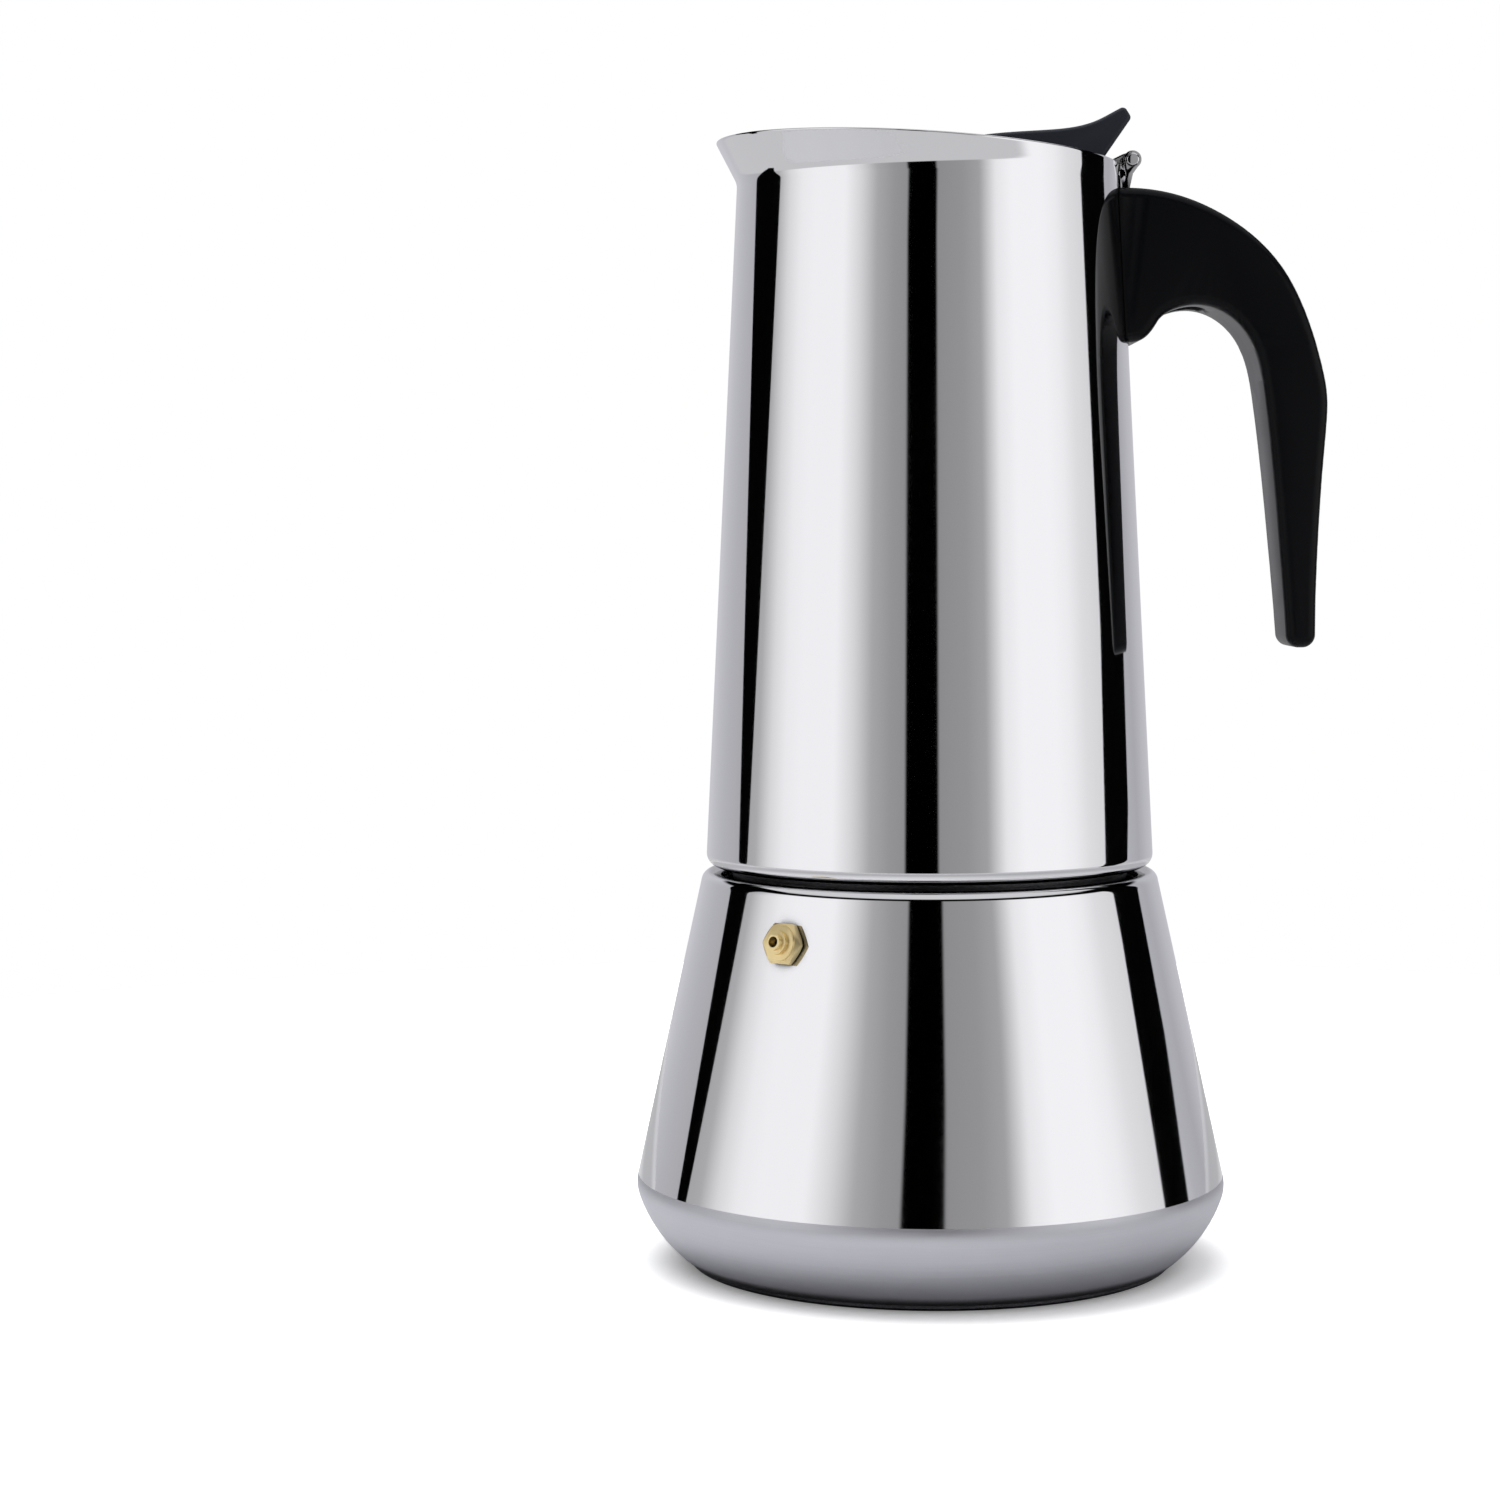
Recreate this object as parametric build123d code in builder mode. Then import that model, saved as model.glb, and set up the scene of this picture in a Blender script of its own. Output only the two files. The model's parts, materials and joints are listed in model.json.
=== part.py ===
from build123d import *

import math
import os

# A stovetop coffee maker: a steel boiler, a funnel that holds the ground coffee, and a jug that
# screws on to the boiler. The origin is at the middle of the underside of the base disc. +Z is up,
# the handle is on +X and the pouring side on -X. All sizes are in millimetres, angles in degrees.

# ---- Sheet and clearances
boiler_sheet = 0.9
jug_sheet = 0.8
thin_sheet = 0.6
loose_gap = 0.3
seat_gap = 0.1
hinge_gap = 0.05

# ---- Boiler: a bowl-shaped foot under a cone
base_disc_radius = 49.5
base_disc_thickness = 1.3
foot_radius = 50.4
bowl_height = 16.0
bowl_radius = 60.3
bowl_bulge = 1.5
bowl_edge_round = 7.0
shoulder_height = 80.2
shoulder_width = 5.9
shoulder_round = 2.2

# ---- Screw joint between boiler and jug
neck_radius = 40.2
neck_wall = 1.6
neck_height = 11.3
neck_seat = 2.0
thread_pitch = 4.0
thread_depth = 1.1
thread_root_width = 1.8
thread_crest_width = 0.9
thread_sunk = 0.3
male_thread_rise = 2.3
male_thread_turns = 1.75
female_thread_turns = 1.4

# ---- Funnel
flange_inset = 0.2
flange_thickness = 0.8
basket_depth = 32.0
basket_gap = 0.8
basket_cone_drop = 9.0
basket_collar = 5.0
basket_edge_round = 1.2
strainer_rise = 1.8
strainer_thickness = 0.6
stem_radius = 5.0
stem_floor_gap = 6.0

# ---- Jug
jug_bottom_gap = 1.0
collar_wall = 3.15
jug_lip_gap = 1.3
jug_edge_round = 2.5
jug_crease_height = 219.2
jug_crease_radius = 38.6
rim_flare = 0.26
rim_blank = 12.0
rim_spout_rise = 8.0
rim_middle_rise = 5.7
rim_handle_rise = 2.9
gasket_thickness = 3.5
gasket_width = 8.3
filter_thickness = 0.4
floor_dome = 2.6
floor_flat_width = 9.0
floor_round = 3.0
riser_foot_lap = 2.5
riser_foot_radius = 12.5
riser_bottom_radius = 9.0
riser_top_radius = 5.2
riser_foot_height = 5.0
riser_height = 88.0
riser_cap_height = 10.0
riser_cap_lap = 4.0
riser_window_width = 5.0
riser_window_height = 3.4
perforation_radius = 0.9
perforation_spacing = 5.2
perforation_rings = 5

# ---- Safety valve, square to the cone of the boiler
valve_angle = 37.6
valve_height = 69.4
valve_hex_size = 7.8
valve_hex_depth = 2.6
valve_boss_radius = 2.3
valve_boss_depth = 0.9
valve_tip_radius = 1.6
valve_tip_depth = 0.9
valve_vent_radius = 1.05
valve_shank_radius = 3.0
valve_shank_length = 7.0
valve_bore_radius = 2.0
valve_bore_depth = 2.2
valve_washer_radius = 5.0
valve_washer_thickness = 1.0
valve_nut_size = 8.6
valve_nut_thickness = 3.0
valve_seat_thickness = 1.6
valve_inlet_radius = 0.9
poppet_head_radius = 1.6
poppet_head_thickness = 1.0
poppet_stem_radius = 0.55
poppet_stem_length = 6.2
spring_radius = 1.35
spring_wire_radius = 0.2
spring_turns = 6

# ---- Handle: heights are drops below the top of the grip, distances stand out from the wall there
grip_top_drop = 2.0
grip_width = 21.6
grip_tip_width = 16.6
grip_edge_round = 2.0
grip_block_drop = 30.7
grip_tip_drop = 91.9
grip_tip_thickness = 5.8
grip_tip_out = 38.9
grip_tip_round = 2.6
bracket_width = 12.0
bracket_sheet = 1.3
bracket_drop = 25.7
tongue_drop = 12.8
tongue_thickness = 2.4
tongue_reach = 18.3
grip_screw_out = 13.1
grip_screw_radius = 2.0
grip_screw_head_radius = 3.6
grip_screw_head_height = 2.2
grip_screw_seat = 4.0
screw_slot_width = 0.9
grip_screw_proud = 1.6
grip_washer_radius = 4.2
grip_washer_thickness = 0.8

# ---- Hinge, placed from the crease at the top of the jug
pin_out = 2.0
pin_rise = 3.9
pin_radius = 1.04
pin_head_radius = 1.35
pin_head_thickness = 0.5
knuckle_wall = 0.76
ear_thickness = 1.7
ear_drop = 2.8

# ---- Lid
lid_gap = 0.9
lid_rise = 2.4
lid_sheet = 0.8
lid_skirt_depth = 3.4
lid_crown_radius = 24.0
lid_crown_rise = 2.8
lid_slope_width = 4.5
lid_bend = 2.5
leaf_sheet = 0.7
leaf_lap = 7.0
rim_gap = 0.4
lever_width = 17.0
lever_nose_width = 11.0
lever_nose_x = 1.0
lever_back_gap = 2.4
lever_edge_round = 1.0
lever_tip_out = 4.3
lever_tip_rise = 11.9
lever_beak_out = 5.7
lever_beak_rise = 9.6
lever_screw_x = 14.0
lever_screw_radius = 1.5
lever_screw_head_radius = 2.8
lever_screw_head_height = 1.8
lever_screw_grip = 2.8
lever_washer_radius = 4.2
lever_washer_thickness = 0.6

# ---- Sizes that follow
neck_top = shoulder_height + neck_height
collar_radius = neck_radius + thread_depth + loose_gap
shoulder_radius = neck_radius + shoulder_width
flange_radius = neck_radius - flange_inset
jug_bottom_radius = collar_radius + collar_wall + jug_sheet
jug_lip_radius = neck_radius + thread_depth + jug_lip_gap
gasket_inner_radius = collar_radius - loose_gap - gasket_width
knuckle_radius = pin_radius + knuckle_wall
flange_top = neck_top + flange_thickness
gasket_top = flange_top + gasket_thickness
filter_top = gasket_top + filter_thickness
jug_bottom = shoulder_height + jug_bottom_gap
jug_slope = (jug_bottom_radius - jug_crease_radius) / (jug_crease_height - jug_bottom)
boiler_slope = (bowl_radius - shoulder_radius) / (shoulder_height - bowl_height)
basket_radius = neck_radius - neck_wall - basket_gap
basket_bottom = flange_top - basket_depth
riser_base = filter_top + floor_dome + jug_sheet
riser_top = riser_base + riser_height
riser_taper = (riser_bottom_radius - riser_top_radius) / (riser_height - riser_foot_height)
floor_radius = jug_crease_radius + jug_slope * (jug_crease_height - filter_top) - jug_sheet - 3 * seat_gap
grip_top = jug_crease_height - grip_top_drop
grip_wall = jug_crease_radius + jug_slope * grip_top_drop
grip_screw_x = grip_wall + grip_screw_out
grip_screw_seat_height = grip_top - tongue_drop - tongue_thickness - grip_screw_seat
pin_x = jug_crease_radius + pin_out
pin_z = jug_crease_height + pin_rise
leaf_width = bracket_width - 2 * ear_thickness - 2 * loose_gap
lid_height = jug_crease_height + lid_rise
lid_radius = jug_crease_radius - jug_sheet - lid_gap
boiler_wall = boiler_sheet * math.hypot(1, boiler_slope)
jug_wall = jug_sheet * math.hypot(1, jug_slope)
valve_nut_start = boiler_sheet + valve_washer_thickness
poppet_start = valve_seat_thickness - valve_shank_length
spring_start = poppet_start + poppet_head_thickness + spring_wire_radius
spring_length = valve_bore_depth - spring_wire_radius - spring_start
strainer_radius = basket_radius - flange_thickness - seat_gap
stem_bottom = base_disc_thickness + boiler_sheet + stem_floor_gap
ring_bottom = jug_bottom + jug_sheet
ring_radius = jug_bottom_radius - jug_slope * (jug_sheet + jug_edge_round) - jug_wall - seat_gap
male_thread_height = shoulder_height + male_thread_rise
female_thread_height = male_thread_height + thread_pitch / 2
rim_spout = jug_crease_height + rim_spout_rise
rim_middle = jug_crease_height + rim_middle_rise
rim_handle = jug_crease_height + rim_handle_rise
rim_slope = (rim_spout - rim_middle) / jug_crease_radius
rim_reach = jug_crease_radius + rim_blank
riser_cap_bore = riser_top_radius + riser_cap_lap * riser_taper + seat_gap
grip_screw_length = grip_washer_thickness + grip_screw_seat + tongue_thickness + grip_screw_proud
lever_back_x = lid_radius - lever_back_gap
lever_screw_length = lever_washer_thickness + lid_sheet + lever_screw_grip


def jug_radius(height):
    """Outer radius of the jug's cone at a height."""
    return jug_crease_radius + jug_slope * (jug_crease_height - height)


def boiler_radius(height):
    """Outer radius of the boiler's cone at a height."""
    return shoulder_radius + boiler_slope * (shoulder_height - height)


def corner(outline, radius, height):
    """The corner of an outline nearest to a radius and a height."""
    return outline.vertices().sort_by_distance((radius, height))[0]


def perforations(rings, radius, spacing):
    """Centres of holes in rings about the axis, with one hole more per step of the ring's radius."""
    centres = []
    for ring in range(1, rings + 1):
        count = 6 * ring
        for step in range(count):
            turn = 2 * math.pi * step / count
            centres.append((ring * spacing * math.cos(turn), ring * spacing * math.sin(turn)))
    return [(x, y) for x, y in centres if math.hypot(x, y) + radius + thin_sheet < spacing * (rings + 1)]


def grip_point(out, drop):
    """A point of the grip's side view, out from the wall at the top of the grip and down from it."""
    return (grip_wall + out, grip_top - drop)


def thread_section(outwards):
    """Section of a thread's ridge: outwards is 1 on the neck, and -1 in the collar around it."""
    flank = (thread_root_width - thread_crest_width) / 2 / thread_depth
    sunk_width = thread_root_width + 2 * flank * thread_sunk
    return (
        (-outwards * thread_sunk, -sunk_width / 2),
        (outwards * thread_depth, -thread_crest_width / 2),
        (outwards * thread_depth, thread_crest_width / 2),
        (-outwards * thread_sunk, sunk_width / 2),
    )


def save(part, name):
    """Labels a finished piece and writes it to its own file."""
    part.label = name
    export_step(part, "parts/" + name + ".step")


# The valve's plane touches the outside of the boiler, and its axis stands square to the wall.
valve_turn = math.radians(valve_angle)
valve_tilt = math.atan(boiler_slope)
valve_plane = Plane(
    (
        -boiler_radius(valve_height) * math.sin(valve_turn),
        -boiler_radius(valve_height) * math.cos(valve_turn),
        valve_height,
    ),
    x_dir=(math.cos(valve_turn), -math.sin(valve_turn), 0),
    z_dir=(
        -math.sin(valve_turn) * math.cos(valve_tilt),
        -math.cos(valve_turn) * math.cos(valve_tilt),
        math.sin(valve_tilt),
    ),
)
grip_screw_plane = Plane((grip_screw_x, 0, grip_screw_seat_height - grip_washer_thickness))
lever_screw_plane = Plane(
    (lever_screw_x, 0, lid_height + lid_crown_rise - lid_sheet - lever_washer_thickness)
)

os.makedirs("parts", exist_ok=True)

# ================================================================ boiler

with BuildPart() as base_disc:
    with BuildSketch():
        Circle(base_disc_radius)
    extrude(amount=base_disc_thickness)
    chamfer(base_disc.edges().sort_by(Axis.Z)[0], base_disc_thickness / 3)
save(base_disc.part, "base_disc")

with BuildPart() as boiler_shell:
    with BuildSketch(Plane.XZ):
        with BuildLine() as boiler_outline:
            Line((0, base_disc_thickness), (foot_radius, base_disc_thickness))
            SagittaArc((foot_radius, base_disc_thickness), (bowl_radius, bowl_height), -bowl_bulge)
            Line((bowl_radius, bowl_height), (shoulder_radius, shoulder_height))
            Line((shoulder_radius, shoulder_height), (neck_radius, shoulder_height))
            fillet(corner(boiler_outline, bowl_radius, bowl_height), bowl_edge_round)
            fillet(corner(boiler_outline, shoulder_radius, shoulder_height), shoulder_round)
            offset(amount=boiler_sheet, side=Side.LEFT)
        make_face()
    revolve(axis=Axis.Z)
    with BuildSketch(valve_plane.offset(-valve_shank_length)):
        Circle(valve_shank_radius + seat_gap)
    extrude(amount=valve_shank_length + valve_hex_depth, mode=Mode.SUBTRACT)
save(boiler_shell.part, "boiler_shell")

with BuildPart() as boiler_neck:
    with BuildSketch(Plane.XY.offset(shoulder_height - neck_seat)):
        Circle(neck_radius)
        Circle(neck_radius - neck_wall, mode=Mode.SUBTRACT)
    extrude(amount=neck_seat + neck_height)
    chamfer(boiler_neck.edges().group_by(Axis.Z)[-1], neck_wall / 4)
    with BuildLine(Plane.XY.offset(male_thread_height)) as male_helix:
        Helix(thread_pitch, thread_pitch * male_thread_turns, neck_radius)
    with BuildSketch(Plane(male_helix.line @ 0, x_dir=(1, 0, 0), z_dir=male_helix.line % 0)):
        Polygon(*thread_section(outwards=1), align=None)
    sweep(path=male_helix.line, is_frenet=True)
save(boiler_neck.part, "boiler_neck")

# ================================================================ safety valve

with BuildPart() as valve_body:
    with BuildSketch(valve_plane):
        RegularPolygon(valve_hex_size / 2, 6, major_radius=False)
    extrude(amount=valve_hex_depth)
    chamfer(valve_body.faces().sort_by(Axis(valve_plane.origin, valve_plane.z_dir))[-1].edges(), 0.6)
    with BuildSketch(valve_plane.offset(valve_hex_depth)):
        Circle(valve_boss_radius)
    extrude(amount=valve_boss_depth)
    with BuildSketch(valve_plane.offset(valve_hex_depth + valve_boss_depth)):
        Circle(valve_tip_radius)
    extrude(amount=valve_tip_depth)
    with BuildSketch(valve_plane):
        Circle(valve_shank_radius)
    extrude(amount=-valve_shank_length)
    with BuildSketch(valve_plane.offset(-valve_shank_length)):
        Circle(valve_bore_radius)
    extrude(amount=valve_shank_length + valve_bore_depth, mode=Mode.SUBTRACT)
    with BuildSketch(valve_plane):
        Circle(valve_vent_radius)
    extrude(amount=valve_hex_depth + valve_boss_depth + valve_tip_depth, mode=Mode.SUBTRACT)
save(valve_body.part, "valve_body")

with BuildPart() as valve_washer:
    with BuildSketch(valve_plane.offset(-valve_nut_start)):
        Circle(valve_washer_radius)
        Circle(valve_shank_radius + seat_gap, mode=Mode.SUBTRACT)
    extrude(amount=valve_nut_start)
    with BuildSketch(Plane.XZ):
        with BuildLine():
            Polyline(
                (boiler_radius(bowl_height) - boiler_wall, bowl_height),
                (boiler_radius(bowl_height) + valve_nut_start, bowl_height),
                (shoulder_radius + valve_nut_start, shoulder_height),
                (shoulder_radius - boiler_wall, shoulder_height),
                close=True,
            )
        make_face()
    revolve(axis=Axis.Z, mode=Mode.SUBTRACT)
save(valve_washer.part, "valve_washer")

with BuildPart() as valve_nut:
    with BuildSketch(valve_plane.offset(-valve_nut_start)):
        RegularPolygon(valve_nut_size / 2, 6, major_radius=False)
        Circle(valve_shank_radius + seat_gap, mode=Mode.SUBTRACT)
    extrude(amount=-valve_nut_thickness)
save(valve_nut.part, "valve_nut")

with BuildPart() as valve_seat:
    with BuildSketch(valve_plane.offset(-valve_shank_length)):
        Circle(valve_bore_radius - seat_gap)
        Circle(valve_inlet_radius, mode=Mode.SUBTRACT)
    extrude(amount=valve_seat_thickness)
save(valve_seat.part, "valve_seat")

with BuildPart() as valve_poppet:
    with BuildSketch(valve_plane.offset(poppet_start)):
        Circle(poppet_head_radius)
    extrude(amount=poppet_head_thickness)
    with BuildSketch(valve_plane.offset(poppet_start + poppet_head_thickness)):
        Circle(poppet_stem_radius)
    extrude(amount=poppet_stem_length)
save(valve_poppet.part, "valve_poppet")

with BuildPart() as valve_spring:
    with BuildLine(valve_plane.offset(spring_start)) as spring_helix:
        Helix(spring_length / spring_turns, spring_length, spring_radius, direction=valve_plane.z_dir)
    with BuildSketch(Plane(spring_helix.line @ 0, z_dir=spring_helix.line % 0)):
        Circle(spring_wire_radius)
    sweep(path=spring_helix.line, is_frenet=True)
save(valve_spring.part, "valve_spring")

# ================================================================ funnel

with BuildPart() as funnel_basket:
    with BuildSketch(Plane.XZ):
        with BuildLine():
            FilletPolyline(
                (flange_radius, neck_top),
                (basket_radius, neck_top),
                (basket_radius, basket_bottom),
                (stem_radius + flange_thickness, basket_bottom - basket_cone_drop),
                (stem_radius + flange_thickness, basket_bottom - basket_cone_drop - basket_collar),
                radius=[basket_edge_round, basket_edge_round, basket_edge_round],
            )
            offset(amount=flange_thickness, side=Side.RIGHT)
        make_face()
    revolve(axis=Axis.Z)
save(funnel_basket.part, "funnel_basket")

with BuildPart() as basket_strainer:
    with BuildSketch(Plane.XY.offset(basket_bottom + strainer_rise)):
        Circle(strainer_radius)
        with Locations(perforations(perforation_rings, perforation_radius, perforation_spacing)):
            Circle(perforation_radius, mode=Mode.SUBTRACT)
    extrude(amount=strainer_thickness)
save(basket_strainer.part, "basket_strainer")

with BuildPart() as funnel_stem:
    with BuildSketch(Plane.XY.offset(stem_bottom)):
        Circle(stem_radius)
        Circle(stem_radius - thin_sheet, mode=Mode.SUBTRACT)
    extrude(amount=basket_bottom - basket_cone_drop - stem_bottom)
save(funnel_stem.part, "funnel_stem")

# ================================================================ jug

with BuildPart() as jug_shell:
    with BuildSketch(Plane.XZ):
        with BuildLine():
            FilletPolyline(
                (jug_lip_radius, jug_bottom),
                (jug_bottom_radius, jug_bottom),
                (jug_radius(jug_crease_height + jug_sheet), jug_crease_height + jug_sheet),
                radius=jug_edge_round,
            )
            offset(amount=jug_sheet, side=Side.LEFT)
        make_face()
    revolve(axis=Axis.Z)
    split(bisect_by=Plane.XY.offset(jug_crease_height), keep=Keep.BOTTOM)
    with BuildSketch(Plane.XY.offset(jug_crease_height)):
        Circle(jug_crease_radius)
    with BuildSketch(Plane.XY.offset(jug_crease_height + rim_blank)):
        with Locations((-rim_flare * rim_blank, 0)):
            Circle(jug_crease_radius + rim_flare * rim_blank)
    loft()
    with BuildSketch(Plane.XY.offset(jug_crease_height)):
        Circle(jug_crease_radius - jug_wall)
    with BuildSketch(Plane.XY.offset(jug_crease_height + rim_blank)):
        with Locations((-rim_flare * rim_blank, 0)):
            Circle(jug_crease_radius - jug_wall + rim_flare * rim_blank)
    loft(mode=Mode.SUBTRACT)
    with BuildSketch(Plane.XZ):
        with BuildLine():
            ThreePointArc((-jug_crease_radius, rim_spout), (0, rim_middle), (jug_crease_radius, rim_handle))
            Polyline(
                (jug_crease_radius, rim_handle),
                (rim_reach, rim_handle - rim_slope * rim_blank),
                (rim_reach, rim_spout + rim_blank),
                (-rim_reach, rim_spout + rim_blank),
                (-rim_reach, rim_spout + rim_slope * rim_blank),
                (-jug_crease_radius, rim_spout),
            )
        make_face()
    extrude(amount=rim_reach, both=True, mode=Mode.SUBTRACT)
save(jug_shell.part, "jug_shell")

with BuildPart() as jug_thread_ring:
    with BuildSketch(Plane.XZ):
        with BuildLine():
            Polyline(
                (collar_radius, ring_bottom),
                (jug_radius(ring_bottom) - jug_wall - jug_edge_round, ring_bottom),
                (ring_radius, ring_bottom + jug_edge_round),
                (jug_radius(filter_top) - jug_wall - seat_gap, filter_top),
                (collar_radius, filter_top),
                close=True,
            )
        make_face()
    revolve(axis=Axis.Z)
    with BuildLine(Plane.XY.offset(female_thread_height)) as female_helix:
        Helix(thread_pitch, thread_pitch * female_thread_turns, collar_radius)
    with BuildSketch(Plane(female_helix.line @ 0, x_dir=(1, 0, 0), z_dir=female_helix.line % 0)):
        Polygon(*thread_section(outwards=-1), align=None)
    sweep(path=female_helix.line, is_frenet=True)
save(jug_thread_ring.part, "jug_thread_ring")

with BuildPart() as sealing_gasket:
    with BuildSketch(Plane.XY.offset(flange_top)):
        Circle(collar_radius - loose_gap)
        Circle(gasket_inner_radius, mode=Mode.SUBTRACT)
    extrude(amount=gasket_thickness)
save(sealing_gasket.part, "sealing_gasket")

with BuildPart() as filter_plate:
    with BuildSketch(Plane.XY.offset(gasket_top)):
        Circle(collar_radius - loose_gap)
        with Locations(perforations(perforation_rings, perforation_radius, perforation_spacing)):
            Circle(perforation_radius, mode=Mode.SUBTRACT)
    extrude(amount=filter_thickness)
save(filter_plate.part, "filter_plate")

with BuildPart() as jug_floor:
    with BuildSketch(Plane.XZ):
        with BuildLine():
            FilletPolyline(
                (riser_foot_radius - riser_foot_lap, filter_top + floor_dome),
                (riser_foot_radius + riser_foot_lap, filter_top + floor_dome),
                (floor_radius - floor_flat_width, filter_top),
                (floor_radius, filter_top),
                radius=floor_round,
            )
            offset(amount=jug_sheet, side=Side.LEFT)
        make_face()
    revolve(axis=Axis.Z)
save(jug_floor.part, "jug_floor")

with BuildPart() as riser_tube:
    with BuildSketch(Plane.XZ):
        with BuildLine():
            FilletPolyline(
                (riser_foot_radius, riser_base),
                (riser_bottom_radius, riser_base + riser_foot_height),
                (riser_top_radius, riser_top),
                radius=riser_bottom_radius,
            )
            offset(amount=thin_sheet, side=Side.LEFT)
        make_face()
    revolve(axis=Axis.Z)
    split(bisect_by=Plane.XY.offset(riser_base), keep=Keep.TOP)
save(riser_tube.part, "riser_tube")

with BuildPart() as riser_cap:
    with BuildSketch(Plane.XY.offset(riser_top - riser_cap_lap)):
        Circle(riser_cap_bore + thin_sheet)
    extrude(amount=riser_cap_height)
    fillet(riser_cap.edges().sort_by(Axis.Z)[-1], 2 * thin_sheet)
    with BuildSketch(Plane.XY.offset(riser_top - riser_cap_lap)):
        Circle(riser_cap_bore)
    extrude(amount=riser_cap_height - thin_sheet, mode=Mode.SUBTRACT)
    with BuildSketch(Plane.XZ.offset(-riser_cap_bore - 1)):
        with Locations((0, riser_top + riser_window_height / 2 + thin_sheet)):
            RectangleRounded(riser_window_width, riser_window_height, riser_window_height / 4)
    extrude(amount=2 * riser_cap_bore + 2, mode=Mode.SUBTRACT)
save(riser_cap.part, "riser_cap")

# ================================================================ handle

with BuildPart() as handle_bracket:
    with BuildSketch(Plane.XZ):
        with BuildLine():
            Polyline(
                (jug_radius(grip_top) - bracket_sheet, grip_top - bracket_drop),
                (jug_radius(grip_top - bracket_drop) + bracket_sheet, grip_top - bracket_drop),
                (jug_radius(grip_top) + bracket_sheet, grip_top),
                (pin_x + seat_gap, pin_z - ear_drop),
                (pin_x + seat_gap - bracket_sheet, pin_z - ear_drop),
                (jug_radius(grip_top) + seat_gap, grip_top),
                (jug_radius(grip_top) - bracket_sheet, grip_top - grip_top_drop),
                close=True,
            )
        make_face()
        with Locations((jug_radius(grip_top), grip_top - tongue_drop)):
            Rectangle(tongue_reach, tongue_thickness, align=(Align.MIN, Align.MAX))
    extrude(amount=bracket_width / 2, both=True)
    for side in (-1, 1):
        with BuildSketch(Plane.XZ.offset(side * (bracket_width - ear_thickness) / 2)):
            Polygon(
                (jug_crease_radius + loose_gap, pin_z - 1),
                (pin_x - bracket_sheet + seat_gap, pin_z - ear_drop),
                (pin_x + seat_gap, pin_z - ear_drop),
                (pin_x + knuckle_radius * 0.9, pin_z - knuckle_radius * 0.4),
                (pin_x, pin_z),
                (pin_x - knuckle_radius * 0.5, pin_z + knuckle_radius * 0.8),
                align=None,
            )
            with Locations((pin_x, pin_z)):
                Circle(knuckle_radius)
                Circle(pin_radius + hinge_gap, mode=Mode.SUBTRACT)
        extrude(amount=ear_thickness / 2, both=True)
    with BuildSketch(Plane.XZ):
        with BuildLine():
            Polyline(
                (0, grip_top - 2 * bracket_drop),
                (jug_radius(grip_top - 2 * bracket_drop), grip_top - 2 * bracket_drop),
                (jug_crease_radius, jug_crease_height),
                (0, jug_crease_height),
                close=True,
            )
        make_face()
    revolve(axis=Axis.Z, mode=Mode.SUBTRACT)
    with BuildSketch(Plane.XY.offset(grip_top - tongue_drop - 2 * tongue_thickness)):
        with Locations((grip_screw_x, 0)):
            Circle(grip_screw_radius + hinge_gap)
    extrude(amount=3 * tongue_thickness, mode=Mode.SUBTRACT)
save(handle_bracket.part, "handle_bracket")

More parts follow.
